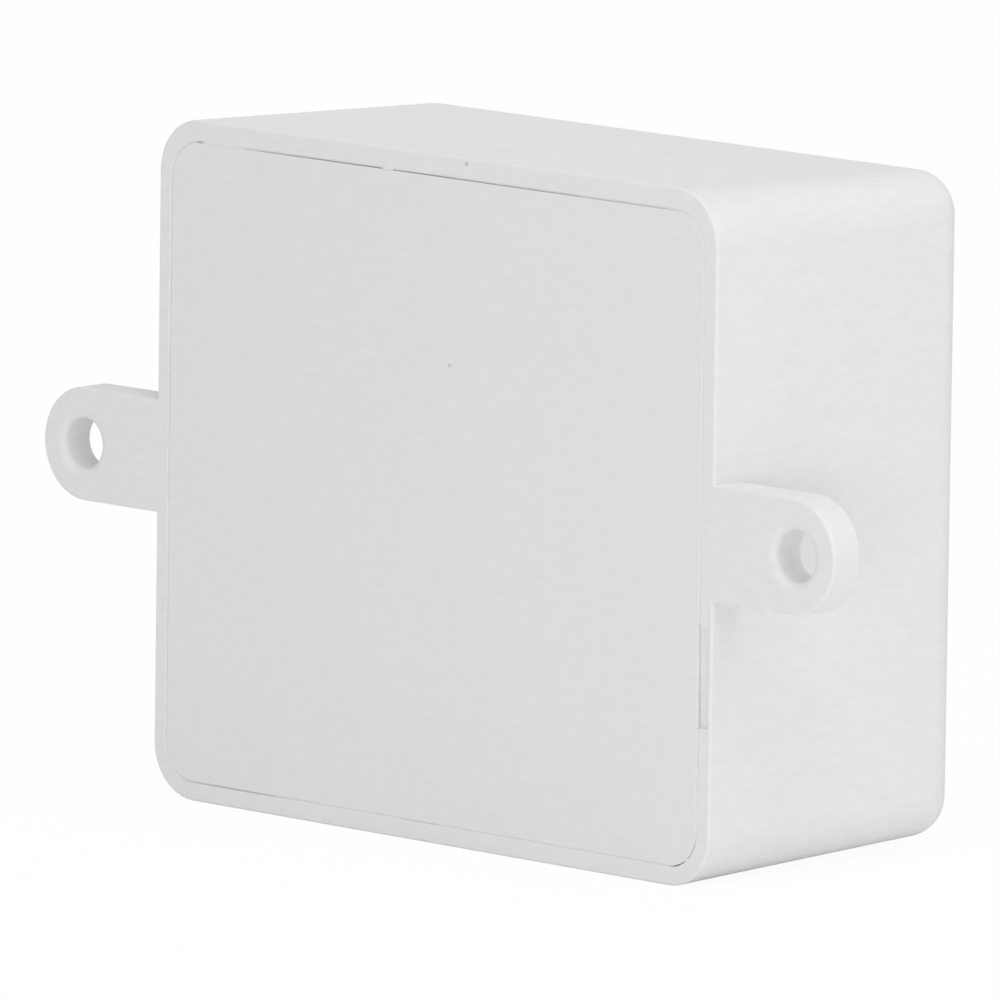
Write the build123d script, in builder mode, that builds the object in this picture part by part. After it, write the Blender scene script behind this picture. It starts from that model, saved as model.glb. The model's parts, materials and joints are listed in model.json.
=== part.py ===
from build123d import *
import os
from math import atan2, degrees, hypot

# A compact mains relay module: a drafted housing with two screw ears, a cover let into its
# open rear, and a board with terminals, relay, supply, radio, button and lamp between them.
# Lengths are in millimetres. X runs along the ears, Z runs up, and Y runs from the wall,
# where it is zero, into the module. The origin is midway between the two ear holes.

os.makedirs("parts", exist_ok=True)

# Walls of the housing
corner_radius = 3.7
side_draw_in = 0.8
front_edge_margin = 0.7
rear_edge_radius = 0.2
rim_edge_radius = 0.1
wall = 2.0
front_wall = 1.8
side_rim = 1.12
end_rim = 1.34
root_embed = 0.3
overrun = 1.0
roof_room = 1.9
top_room = 0.85

# Mounting ears
ear_reach = 7.25
ear_end_inset = 0.25
ear_width = 7.8
ear_thickness = 2.6
ear_hole_radius = 1.74
ear_lip_width = 0.66
ear_lip_depth = 0.45
ear_front_lip = 0.2
ear_edge_radius = 0.2

# Pry notch in the right rim
notch_length = 6.74
notch_drop = 9.03
notch_depth = 0.25
notch_shallow_depth = 0.12
notch_margin = 0.25

# Rear cover, its four pegs and the rails that hold the board down
cover_thickness = 1.6
cover_gap = 0.09
cover_drop = 0.07
cover_sag = 0.03
cover_edge_radius = 0.1
cover_corner_radius = 2.5
peg_radius = 1.0
peg_length = 5.5
peg_tip = 0.3
peg_inset = 2.2
peg_wall = 0.9
rail_width = 0.8
rail_gap = 0.25
rail_end_gap = 0.6

# Clearances shared by the pieces
running_clearance = 0.05
seat_gap = 0.1
part_gap = 0.6
lead_clearance = 0.1
lead_tail = 0.8
standoff = 0.3

# Circuit board and the two screws that hold it
solder_room = 2.4
board_thickness = 1.6
board_gap = 0.5
shoulder = 1.2
post_inset = 3.2
post_drop = 6.5
post_radius = 2.4
screw_shank_radius = 0.95
screw_head_rim = 0.95
screw_head_height = 1.2
screw_length = 8.0
screw_slot_width = 0.5
screw_slot_depth = 0.5

# Terminals: three bodies of two poles, six screws, six rising cages, six contact bars
poles_per_block = 2
block_count = 3
pole_wall = 1.05
block_floor = 1.2
block_wall = 1.1
block_edge = 0.3
mouth_bevel = 0.35
mouth_recess = 0.95
bay_gap = 0.15
bay_wall = 0.8
bay_wall_gap = 0.3
column_offset = 0.65
cage_wall = 0.45
cage_inner_width = 4.3
cage_floor = 0.9
cage_roof = 1.7
cage_length = 5.0
cage_play = 0.2
cage_travel = 3.0
wire_height = 4.3
bar_thickness = 0.9
bar_side_gap = 0.35
leg_thickness = 0.8
leg_clearance = 0.25
pin_width = 1.2
clamp_shank_radius = 1.45
clamp_head_rim = 0.5
clamp_head_height = 1.9
clamp_head_gap = 0.15
clamp_slot_width = 0.7
clamp_slot_depth = 0.9
clamp_ledge = 0.6
clamp_sink = 0.5

# Relay
relay_wall = 0.7
relay_side_gap = 0.45
relay_end_room = 2.35
relay_roof_gap = 0.5
relay_edge = 0.4
relay_flange = 0.6
relay_base_height = 2.4
relay_pin_radius = 0.4
coil_flange = 10.4
coil_flange_thickness = 0.8
coil_height = 8.6
coil_tube_wall = 0.65
core_radius = 2.2
core_head_rim = 1.2
core_head_height = 0.5
pole_gap = 0.6
iron_thickness = 1.2
iron_side_gap = 1.0
armature_side_gap = 0.2
armature_overhang = 1.6
blade_thickness = 0.3
blade_width = 4.4
blade_tail = 0.7
rivet_radius = 1.2
rivet_height = 0.4
fixed_rivet_height = 0.35
contact_gap = 0.6
rivet_rise = 3.5

# Film capacitor, fuse and varistor in the relay's row
film_thickness = 5.0
film_length = 12.0
film_height = 11.0
film_lead_inset = 1.5
fuse_thickness = 4.0
fuse_length = 8.4
fuse_height = 7.7
fuse_lead_inset = 1.66
varistor_radius = 3.5
varistor_thickness = 3.4
varistor_lead_inset = 1.0
box_edge = 0.4
lead_radius = 0.3

# Supply transformer and the two round capacitors
core_window = 2.8
core_height = 10.6
core_depth = 5.4
core_centre_leg = 3.0
core_outer_leg = 1.9
core_yoke = 2.0
rail_height = 1.8
bobbin_flange = 0.6
bobbin_wall = 0.65
bobbin_rail = 2.65
bobbin_fit = 0.05
pin_row_inset = 1.7
pins_per_rail = 4
input_can_radius = 4.0
input_can_height = 12.0
output_can_radius = 3.15
output_can_height = 9.5
can_edge = 0.5
can_neck = 0.3
can_neck_height = 0.8

# Chips on the solder side
chip_length = 4.9
chip_width = 3.9
chip_height = 1.2
chip_lead_length = 1.0
chip_lead_width = 0.5
chip_lead_thickness = 0.2
converter_lead_count = 4
rectifier_lead_count = 2

# Radio board
radio_length = 18.4
radio_width = 10.8
radio_thickness = 0.8
aerial_length = 6.8
shield_height = 2.2
shield_wall = 0.25
shield_inset = 1.0

# Pairing button, its switch, and the lamp with its light pipe
switch_size = 6.0
switch_height = 3.5
switch_well = 1.1
plunger_radius = 1.7
plunger_clearance = 0.1
plunger_height = 1.5
button_radius = 2.4
button_clearance = 0.2
button_stand = 0.5
button_edge = 0.35
button_rim = 1.0
button_flange = 1.0
button_stem_radius = 1.4
button_travel = 0.3
lamp_radius = 1.5
lamp_rim = 0.4
lamp_rim_height = 1.0
lamp_height = 4.6
lamp_lead_spacing = 2.54
pipe_radius = 1.25
pipe_collar = 0.75
pipe_collar_height = 1.0
pipe_gap = 0.2

# Levels of the board
board_rear = cover_thickness + solder_room
board_front = board_rear + board_thickness
tail_y = board_rear - lead_tail

# Sizes of one terminal, around the wire that it takes
cage_half = cage_inner_width / 2 + cage_wall
chamber_half = cage_half + running_clearance
pole_pitch = 2 * chamber_half + pole_wall
block_width = poles_per_block * pole_pitch
pole_count = block_count * poles_per_block
bay_half = block_count * block_width / 2 + bay_gap
block_depth = (
    2 * block_wall + cage_play + cage_length + leg_clearance + leg_thickness
)
clamp_head_radius = clamp_shank_radius + clamp_head_rim

# Levels of the terminals, from the board towards the room
chamber_floor = board_front + block_floor
cage_bottom = chamber_floor + seat_gap
wire_bottom = cage_bottom + cage_floor
bar_bottom = wire_bottom + wire_height
bar_top = bar_bottom + bar_thickness
cage_roof_bottom = bar_top + clamp_head_gap
cage_top = cage_roof_bottom + cage_roof
chamber_ceiling = cage_top + cage_travel + cage_play
ledge_top = chamber_ceiling + clamp_ledge
head_bottom = ledge_top + running_clearance
head_top = head_bottom + clamp_head_height
block_top = head_top + clamp_sink

# Sizes of the relay, around its coil and contacts
relay_width = coil_flange + 2 * (relay_side_gap + relay_wall)
relay_length = (
    2 * relay_wall + standoff + coil_flange + 2 * seat_gap + iron_thickness
    + armature_overhang + 2 * blade_thickness + rivet_height + contact_gap
    + fixed_rivet_height + relay_end_room
)
relay_height = (
    relay_base_height + 2 * iron_thickness + coil_height + core_head_height + pole_gap
    + relay_roof_gap + relay_wall
)
coil_tube_radius = core_radius + running_clearance + coil_tube_wall
winding_radius = coil_flange / 2 - standoff
core_head_radius = core_radius + core_head_rim
iron_width = coil_flange - 2 * iron_side_gap
armature_width = iron_width - 2 * armature_side_gap
coil_pin_spacing = coil_flange - relay_pin_radius

# Sizes of the transformer, and of the radio's shield
core_width = core_centre_leg + 2 * (core_window + core_outer_leg)
bobbin_depth = core_depth + 2 * (bobbin_fit + bobbin_rail)
transformer_height = rail_height + core_height
shield_width = radio_width - 2 * shield_inset
shield_length = radio_length - shield_inset - aerial_length

# The housing closes round its contents: the rows that lie side by side give its height,
# the widest row its width, and the tallest part its depth
first_row_depth = max(relay_width, film_length, fuse_length, 2 * varistor_radius)
second_row_depth = max(
    bobbin_depth + part_gap + 2 * output_can_radius,
    switch_size + part_gap + radio_width,
    2 * input_can_radius,
)
box_height = (
    2 * wall + mouth_recess + block_depth + bay_gap + bay_wall + bay_wall_gap
    + first_row_depth + part_gap + second_row_depth + top_room
)
first_row_length = (
    relay_length + film_thickness + fuse_thickness + varistor_thickness + 3 * part_gap
)
second_row_length = core_width + 2 * input_can_radius + radio_length + 2 * part_gap
boss_half = peg_radius + running_clearance + peg_wall
column_depth = boss_half + peg_inset + wall
half_width = max(
    bay_half + column_offset + column_depth,
    first_row_length / 2 + seat_gap + post_radius + post_inset + wall,
    (second_row_length + part_gap + board_gap + wall + standoff + column_depth) / 2,
)
box_width = 2 * half_width
tallest_part = max(
    relay_height,
    transformer_height,
    standoff + input_can_height,
    standoff + output_can_height,
    standoff + film_height,
    standoff + fuse_height,
    block_top - board_front,
)
box_depth = board_front + tallest_part + roof_room + front_wall

# Places that follow from the housing
draft_angle = degrees(atan2(side_draw_in, box_depth))
front_edge_radius = corner_radius - side_draw_in - front_edge_margin
half_height = box_height / 2
cavity_front = box_depth - front_wall
ear_hole_spacing = box_width + 2 * ear_reach
peg_x = half_width - wall - peg_inset
peg_z = half_height - wall - peg_inset
column_inner_x = peg_x - boss_half
column_inner_z = peg_z - boss_half
column_outer_x = half_width - wall + root_embed
column_outer_z = half_height - wall + root_embed
board_half_x = half_width - wall - board_gap
board_half_z = half_height - wall - board_gap
post_x = half_width - wall - post_inset
post_z = -post_drop
screw_head_radius = screw_shank_radius + screw_head_rim

# Places of the terminals, from the wire mouths inwards
pole_places = [(i - (pole_count - 1) / 2) * pole_pitch for i in range(pole_count)]
block_mouth_z = -(half_height - wall - mouth_recess)
chamber_start_z = block_mouth_z + block_wall
cage_start_z = chamber_start_z + cage_play
cage_end_z = cage_start_z + cage_length
clamp_z = cage_start_z + cage_length / 2
leg_start_z = cage_end_z + leg_clearance
leg_end_z = leg_start_z + leg_thickness
block_end_z = leg_end_z + block_wall
mouth_width = cage_inner_width + seat_gap
mouth_height = wire_height + 2 * seat_gap
bar_width = cage_inner_width - 2 * bar_side_gap
pin_hole_radius = hypot(pin_width, leg_thickness) / 2 + lead_clearance

# Places of the first row: relay, film capacitor, fuse and varistor
row_start_x = -(post_x - post_radius) + seat_gap
row_start_z = block_end_z + bay_gap + bay_wall + bay_wall_gap
relay_x = row_start_x + relay_length / 2
relay_z = row_start_z + relay_width / 2
film_x = relay_x + relay_length / 2 + part_gap + film_thickness / 2
film_z = row_start_z + film_length / 2
fuse_x = film_x + film_thickness / 2 + part_gap + fuse_thickness / 2
fuse_z = row_start_z + fuse_length / 2
varistor_x = fuse_x + fuse_thickness / 2 + part_gap + varistor_thickness / 2
varistor_z = row_start_z + varistor_radius

# Places of the second row: transformer, round capacitors, switch, lamp and radio
second_row_z = row_start_z + first_row_depth + part_gap
transformer_x = -(board_half_x - part_gap - core_width / 2)
transformer_z = second_row_z + bobbin_depth / 2
input_can_x = transformer_x + core_width / 2 + part_gap + input_can_radius
input_can_z = second_row_z + input_can_radius
output_can_x = -(column_inner_x - part_gap - output_can_radius)
output_can_z = transformer_z + bobbin_depth / 2 + part_gap + output_can_radius
switch_x = input_can_x + input_can_radius + part_gap + switch_size / 2
switch_z = second_row_z + switch_size / 2
lamp_x = switch_x + switch_size + part_gap
lamp_z = switch_z
radio_x = input_can_x + input_can_radius + part_gap + radio_length / 2
radio_z = switch_z + switch_size / 2 + part_gap + radio_width / 2

# Levels of the relay, from the board towards the room
relay_base_top = board_front + relay_base_height
yoke_top_of_foot = relay_base_top + iron_thickness
lower_flange_top = yoke_top_of_foot + coil_flange_thickness
upper_flange_bottom = lower_flange_top + coil_height - 2 * coil_flange_thickness
upper_flange_top = upper_flange_bottom + coil_flange_thickness
core_top = upper_flange_top + core_head_height
armature_bottom = core_top + pole_gap
armature_top = armature_bottom + iron_thickness
leg_top = armature_bottom - seat_gap
relay_top = board_front + relay_height

# Places along the relay, from its coil end
coil_x = relay_x - relay_length / 2 + relay_wall + standoff + coil_flange / 2
yoke_leg_start = coil_x + coil_flange / 2 + 2 * seat_gap
yoke_leg_end = yoke_leg_start + iron_thickness
pivot_x = (yoke_leg_start + yoke_leg_end) / 2
blade_start = yoke_leg_end + armature_overhang
blade_end = blade_start + blade_thickness
resting_face = blade_start - rivet_height - running_clearance
resting_blade_end = resting_face - fixed_rivet_height
resting_blade_x = resting_blade_end - blade_thickness / 2
closing_face = blade_end + rivet_height + contact_gap
closing_blade_start = closing_face + fixed_rivet_height
closing_blade_x = closing_blade_start + blade_thickness / 2
rivet_y = relay_base_top + rivet_rise
common_pin_x = pivot_x - iron_thickness
coil_pin_x = coil_x - coil_flange / 2 + iron_thickness

# Levels of the button, switch, lamp and light pipe
switch_top = board_front + switch_height
plunger_bottom = switch_top - switch_well + button_travel + seat_gap
plunger_top = plunger_bottom + plunger_height
button_flange_front = cavity_front - seat_gap
lamp_top = board_front + lamp_height
pipe_rear = lamp_top + pipe_gap

# Leads that pass through the board
bar_pins = [(x, (leg_start_z + leg_end_z) / 2) for x in pole_places]
relay_pins_at = [
    (coil_pin_x, relay_z - coil_pin_spacing / 2),
    (coil_pin_x, relay_z + coil_pin_spacing / 2),
    (common_pin_x, relay_z),
]
contact_pins_at = [(resting_blade_x, relay_z), (closing_blade_x, relay_z)]
film_leads = [(film_x, film_z + s * (film_length / 2 - film_lead_inset)) for s in (-1, 1)]
fuse_leads = [(fuse_x, fuse_z + s * (fuse_length / 2 - fuse_lead_inset)) for s in (-1, 1)]
varistor_lead_z = varistor_radius - varistor_lead_inset
varistor_leads = [(varistor_x, varistor_z + s * varistor_lead_z) for s in (-1, 1)]
input_can_leads = [(input_can_x + s * input_can_radius / 2, input_can_z) for s in (-1, 1)]
output_can_leads = [(output_can_x + s * output_can_radius / 2, output_can_z) for s in (-1, 1)]
bobbin_pin_z = bobbin_depth / 2 - bobbin_rail / 2
transformer_pin_spacing = (core_width - 2 * pin_row_inset) / (pins_per_rail - 1)
transformer_pins = [
    (
        transformer_x + (i - (pins_per_rail - 1) / 2) * transformer_pin_spacing,
        transformer_z + s * bobbin_pin_z,
    )
    for i in range(pins_per_rail)
    for s in (-1, 1)
]
switch_leads = [
    (switch_x + sx * switch_size / 3, switch_z + sz * switch_size / 3)
    for sx in (-1, 1)
    for sz in (-1, 1)
]
lamp_leads = [(lamp_x + s * lamp_lead_spacing / 2, lamp_z) for s in (-1, 1)]
thin_leads = (
    film_leads + fuse_leads + varistor_leads + input_can_leads + output_can_leads
    + transformer_pins + switch_leads + lamp_leads
)
corners = [(sx, sz) for sx in (-1, 1) for sz in (-1, 1)]


def layer(y):
    """The plane at depth y, drawn on in x and z."""
    return Plane.XZ.offset(-y)


def slab(x, y, z, mode=Mode.ADD):
    """A block in the open part, from three (low, high) pairs."""
    with BuildSketch(layer(y[0])) as outline:
        with Locations(((x[0] + x[1]) / 2, (z[0] + z[1]) / 2)):
            Rectangle(x[1] - x[0], z[1] - z[0])
    extrude(outline.sketch, amount=y[0] - y[1], mode=mode)


def rods(places, y, radius, mode=Mode.ADD):
    """Round rods along the depth in the open part, at (x, z) places, from y low to y high."""
    with BuildSketch(layer(y[0])) as outline:
        with Locations(*places):
            Circle(radius)
    extrude(outline.sketch, amount=y[0] - y[1], mode=mode)


def save(builder, name):
    """Label a finished piece and write it."""
    builder.part.label = name
    export_step(builder.part, f"parts/{name}.step")


def around(centre, size):
    """The (low, high) pair of a size about its centre."""
    return (centre - size / 2, centre + size / 2)


# Housing
with BuildPart() as housing:
    with BuildSketch(layer(0)):
        RectangleRounded(box_width, box_height, corner_radius)
    extrude(amount=-box_depth, taper=draft_angle)
    fillet(housing.edges().group_by(Axis.Y)[-1], radius=front_edge_radius)
    fillet(housing.edges().group_by(Axis.Y)[0], radius=rear_edge_radius)
    with BuildSketch(layer(0)):
        SlotCenterToCenter(ear_hole_spacing - 2 * ear_end_inset, ear_width)
    extrude(amount=-ear_thickness)
    ear_edges = housing.edges().filter_by(
        lambda e: abs(e.center().X) > half_width + root_embed and abs(e.tangent_at(0).Y) < 0.5
    )
    fillet(ear_edges, radius=ear_edge_radius)
    with BuildSketch(layer(0)):
        with Locations((-ear_hole_spacing / 2, 0), (ear_hole_spacing / 2, 0)):
            Circle(ear_hole_radius)
    extrude(amount=-ear_thickness, mode=Mode.SUBTRACT)
    lips = housing.edges().filter_by(GeomType.CIRCLE).filter_by(
        lambda e: abs(e.radius - ear_hole_radius) < running_clearance
    )
    fillet(lips.group_by(Axis.Y)[-1], radius=ear_front_lip)
    # Wider lip at the rear of each ear hole, a quarter of an ellipse in section
    for side in (-1, 1):
        hole_x = side * ear_hole_spacing / 2
        mouth_x = hole_x + ear_hole_radius + ear_lip_width
        with BuildSketch(Plane.XY):
            with BuildLine():
                lip = EllipticalCenterArc(
                    (mouth_x, ear_lip_depth), ear_lip_width, ear_lip_depth, start_angle=180
                )
                Polyline(lip @ 1, (hole_x, 0), (hole_x, ear_lip_depth), lip @ 0)
            make_face()
        revolve(axis=Axis((hole_x, 0, 0), (0, 1, 0)), mode=Mode.SUBTRACT)
    # Recess for the cover, a little below the middle, then the cavity behind it
    with BuildSketch(layer(0)):
        with Locations((0, -cover_drop)):
            RectangleRounded(
                box_width - 2 * side_rim,
                box_height - 2 * end_rim,
                cover_corner_radius + cover_gap,
            )
    extrude(amount=-cover_thickness, mode=Mode.SUBTRACT)
    rim_edges = housing.edges().group_by(Axis.Y)[0].filter_by(
        lambda e: abs(e.center().X) < half_width - side_rim + cover_gap
        and abs(e.center().Z) < half_height - end_rim + cover_drop + cover_gap
        and abs(e.center().X) + abs(e.center().Z) > half_height / 2
    )
    fillet(rim_edges, radius=rim_edge_radius)
    with BuildSketch(layer(cover_thickness)):
        RectangleRounded(box_width - 2 * wall, box_height - 2 * wall, corner_radius - wall)
    extrude(amount=cover_thickness - cavity_front, taper=draft_angle, mode=Mode.SUBTRACT)
    # Corner columns: the thick part carries the board, the thin part takes a cover peg
    for sx, sz in corners:
        x_span = sorted((sx * column_inner_x, sx * column_outer_x))
        thin_span = sorted((sz * column_inner_z, sz * column_outer_z))
        thick_span = sorted((sz * (column_inner_z - shoulder), sz * column_outer_z))
        slab(x_span, (cover_thickness, cavity_front + root_embed), thin_span)
        slab(x_span, (board_front, cavity_front + root_embed), thick_span)
    sockets = [(sx * peg_x, sz * peg_z) for sx, sz in corners]
    rods(
        sockets,
        (cover_thickness, cover_thickness + peg_length + peg_tip),
        peg_radius + running_clearance,
        mode=Mode.SUBTRACT,
    )
    # Screw posts on the side walls
    for side in (-1, 1):
        rods([(side * post_x, post_z)], (board_front, cavity_front + root_embed), post_radius)
        slab(
            sorted((side * post_x, side * column_outer_x)),
            (board_front, cavity_front + root_embed),
            around(post_z, 2 * post_radius),
        )
    rods(
        [(-post_x, post_z), (post_x, post_z)],
        (board_front, board_front + screw_length),
        screw_shank_radius + running_clearance,
        mode=Mode.SUBTRACT,
    )
    # Bay at the lower front edge, where the terminals stand open to the wires and screwdriver
    slab(
        (-bay_half, bay_half),
        (chamber_floor, box_depth + overrun),
        (-half_height - overrun, block_end_z + bay_gap),
        mode=Mode.SUBTRACT,
    )
    # Walls that close the bay off from the inside, above the terminals and at both ends
    bay_top = block_end_z + bay_gap
    bay_wall_depth = (board_front + seat_gap, cavity_front + root_embed)
    slab(
        (-bay_half - bay_wall, bay_half + bay_wall),
        bay_wall_depth,
        (bay_top, bay_top + bay_wall),
    )
    for side in (-1, 1):
        slab(
            sorted((side * bay_half, side * (bay_half + bay_wall))),
            bay_wall_depth,
            (-column_outer_z, bay_top + bay_wall),
        )
    # Button and light pipe holes through the front wall
    rods(
        [(switch_x, switch_z)],
        (cavity_front - overrun, box_depth + overrun),
        button_radius + button_clearance,
        mode=Mode.SUBTRACT,
    )
    rods(
        [(lamp_x, lamp_z)],
        (cavity_front - overrun, box_depth + overrun),
        pipe_radius + running_clearance,
        mode=Mode.SUBTRACT,
    )
    # Pry notch: a ramp in the rim, deeper at its lower end
    notch_x = half_width - side_rim - overrun
    notch_low = -notch_drop - notch_length / 2
    notch_high = notch_low + notch_length
    with BuildSketch(Plane.YZ.offset(notch_x)):
        with BuildLine():
            Polyline(
                (-overrun, notch_low),
                (notch_depth, notch_low),
                (notch_shallow_depth, notch_high),
                (-overrun, notch_high),
                close=True,
            )
        make_face()
    extrude(amount=overrun + side_rim - notch_margin, mode=Mode.SUBTRACT)
save(housing, "housing")

# Rear cover with four pegs and four rails
with BuildPart() as rear_cover:
    with BuildSketch(layer(0)):
        with Locations((0, -cover_drop - cover_sag)):
            RectangleRounded(
                box_width - 2 * (side_rim + cover_gap),
                box_height - 2 * (end_rim + cover_gap),
                cover_corner_radius,
            )
    extrude(amount=-cover_thickness)
    fillet(rear_cover.edges().group_by(Axis.Y)[0], radius=cover_edge_radius)
    rods(sockets, (cover_thickness, cover_thickness + peg_length), peg_radius)
    rail_front = board_rear - seat_gap
    rail_x = half_width - wall - rail_gap - rail_width / 2
    rail_z = half_height - wall - rail_gap - rail_width / 2
    side_rail_half = column_inner_z - rail_end_gap
    end_rail_half = column_inner_x - rail_end_gap
    for side in (-1, 1):
        slab(
            around(side * rail_x, rail_width),
            (cover_thickness, rail_front),
            (-side_rail_half, side_rail_half),
        )
        slab(
            (-end_rail_half, end_rail_half),
            (cover_thickness, rail_front),
            around(side * rail_z, rail_width),
        )
    peg_ends = rear_cover.edges().group_by(Axis.Y)[-1]
    chamfer(peg_ends, length=peg_tip)
save(rear_cover, "rear_cover")

# Circuit board
with BuildPart() as circuit_board:
    slab(
        (-board_half_x, board_half_x),
        (board_rear, board_front),
        (-board_half_z, board_half_z),
    )
    for sx, sz in corners:
        slab(
            sorted((sx * (column_inner_x - standoff), sx * (board_half_x + overrun))),
            (board_rear - overrun, board_front + overrun),
            sorted((sz * (column_inner_z - standoff), sz * (board_half_z + overrun))),
            mode=Mode.SUBTRACT,
        )
    through = (board_rear - overrun, board_front + overrun)
    rods(bar_pins, through, pin_hole_radius, mode=Mode.SUBTRACT)
    rods(
        relay_pins_at + contact_pins_at,
        through,
        relay_pin_radius + lead_clearance,
        mode=Mode.SUBTRACT,
    )
    rods(thin_leads, through, lead_radius + lead_clearance, mode=Mode.SUBTRACT)
    rods(
        [(-post_x, post_z), (post_x, post_z)],
        through,
        screw_shank_radius + 2 * lead_clearance,
        mode=Mode.SUBTRACT,
    )
save(circuit_board, "circuit_board")

# Board screws, entered from the rear
with BuildPart() as board_screws:
    screw_places = [(-post_x, post_z), (post_x, post_z)]
    head_rear = board_rear - screw_head_height
    rods(screw_places, (head_rear, board_rear), screw_head_radius)
    rods(screw_places, (board_rear, board_front + screw_length - peg_tip), screw_shank_radius)
    for x, z in screw_places:
        slab(
            around(x, 2 * screw_head_radius + overrun),
            (head_rear - overrun, head_rear + screw_slot_depth),
            around(z, screw_slot_width),
            mode=Mode.SUBTRACT,
        )
save(board_screws, "board_screws")

# Terminal bodies, two poles each
for block in range(block_count):
    own_poles = pole_places[block * poles_per_block:(block + 1) * poles_per_block]
    block_x = sum(own_poles) / poles_per_block
    with BuildPart() as terminal_block:
        slab(
            around(block_x, block_width),
            (board_front, block_top),
            (block_mouth_z, block_end_z),
        )
        top_edges = terminal_block.edges().group_by(Axis.Y)[-1]
        chamfer(top_edges.filter_by(Axis.X), length=block_edge)
        for x in own_poles:
            slab(
                around(x, 2 * chamber_half),
                (chamber_floor, chamber_ceiling),
                (chamber_start_z, leg_end_z),
                mode=Mode.SUBTRACT,
            )
            mouth_low = wire_bottom - seat_gap
            slab(
                around(x, mouth_width),
                (mouth_low, mouth_low + mouth_height),
                (block_mouth_z - overrun, chamber_start_z),
                mode=Mode.SUBTRACT,
            )
            slab(
                around(x, pin_width + 2 * running_clearance),
                (board_front - overrun, chamber_floor),
                (leg_start_z - running_clearance, leg_end_z + running_clearance),
                mode=Mode.SUBTRACT,
            )
            rods(
                [(x, clamp_z)],
                (chamber_ceiling, block_top),
                clamp_shank_radius + clamp_head_gap,
                mode=Mode.SUBTRACT,
            )
            rods(
                [(x, clamp_z)],
                (ledge_top, block_top),
                clamp_head_radius + clamp_head_gap,
                mode=Mode.SUBTRACT,
            )
        mouth_edges = terminal_block.edges().group_by(Axis.Z)[0].filter_by(
            lambda e: abs(e.center().X - block_x) < block_width / 2 - running_clearance
            and board_front + running_clearance < e.center().Y < ledge_top
            and e.length < mouth_height + running_clearance
        )
        chamfer(mouth_edges, length=mouth_bevel)
    save(terminal_block, f"terminal_block_{block + 1}")

# Contact bars: a bar over the wire, a leg behind the cage, and a solder pin
with BuildPart() as terminal_contact_bars:
    for x in pole_places:
        slab(around(x, bar_width), (bar_bottom, bar_top), (cage_start_z, leg_end_z))
        slab(around(x, 2 * cage_half), (chamber_floor, bar_top), (leg_start_z, leg_end_z))
        slab(around(x, pin_width), (tail_y, chamber_floor), (leg_start_z, leg_end_z))
save(terminal_contact_bars, "terminal_contact_bars")

# Clamp cages and clamp screws, one of each to a pole
for pole, x in enumerate(pole_places, start=1):
    with BuildPart() as terminal_cage:
        slab(around(x, 2 * cage_half), (cage_bottom, cage_top), (cage_start_z, cage_end_z))
        slab(
            around(x, cage_inner_width),
            (wire_bottom, cage_roof_bottom),
            (cage_start_z - overrun, cage_end_z + overrun),
            mode=Mode.SUBTRACT,
        )
        rods(
            [(x, clamp_z)],
            (cage_roof_bottom, cage_top),
            clamp_shank_radius + running_clearance,
            mode=Mode.SUBTRACT,
        )
    save(terminal_cage, f"terminal_cage_{pole}")

    with BuildPart() as terminal_screw:
        rods([(x, clamp_z)], (bar_top + seat_gap, head_bottom), clamp_shank_radius)
        rods([(x, clamp_z)], (head_bottom, head_top), clamp_head_radius)
        fillet(terminal_screw.edges().group_by(Axis.Y)[-1], radius=clamp_head_gap)
        slab(
            around(x, 2 * clamp_head_radius + overrun),
            (head_top - clamp_slot_depth, head_top + overrun),
            around(clamp_z, clamp_slot_width),
            mode=Mode.SUBTRACT,
        )
    save(terminal_screw, f"terminal_screw_{pole}")

# Relay base, with holes for its pins
with BuildPart() as relay_base:
    slab(
        around(relay_x, relay_length),
        (board_front, board_front + relay_flange),
        around(relay_z, relay_width),
    )
    slab(
        around(relay_x, relay_length - 2 * (relay_wall + running_clearance)),
        (board_front, relay_base_top),
        around(relay_z, relay_width - 2 * (relay_wall + running_clearance)),
    )
    rods(
        relay_pins_at + contact_pins_at,
        (board_front - overrun, relay_base_top + overrun),
        relay_pin_radius + running_clearance,
        mode=Mode.SUBTRACT,
    )
save(relay_base, "relay_base")

# Relay cover, a can with thin walls
with BuildPart() as relay_cover:
    slab(
        around(relay_x, relay_length),
        (board_front + relay_flange, relay_top),
        around(relay_z, relay_width),
    )
    fillet(relay_cover.edges().filter_by(Axis.Y), radius=relay_edge)
    fillet(relay_cover.edges().group_by(Axis.Y)[-1], radius=relay_edge)
    slab(
        around(relay_x, relay_length - 2 * relay_wall),
        (board_front + relay_flange - overrun, relay_top - relay_wall),
        around(relay_z, relay_width - 2 * relay_wall),
        mode=Mode.SUBTRACT,
    )
save(relay_cover, "relay_cover")

# Relay yoke: a foot under the coil and a leg beside it
with BuildPart() as relay_yoke:
    slab(
        (coil_x - coil_flange / 2, yoke_leg_end),
        (relay_base_top, yoke_top_of_foot),
        around(relay_z, iron_width),
    )
    slab(
        (yoke_leg_start, yoke_leg_end),
        (relay_base_top, leg_top),
        around(relay_z, iron_width),
    )
    rods(
        [(coil_x, relay_z)],
        (relay_base_top, yoke_top_of_foot),
        core_radius,
        mode=Mode.SUBTRACT,
    )
save(relay_yoke, "relay_yoke")

# Relay core, riveted in the foot, with a wider head over the coil
with BuildPart() as relay_core:
    rods([(coil_x, relay_z)], (relay_base_top, core_top), core_radius)
    rods([(coil_x, relay_z)], (upper_flange_top, core_top), core_head_radius)
save(relay_core, "relay_core")

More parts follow.
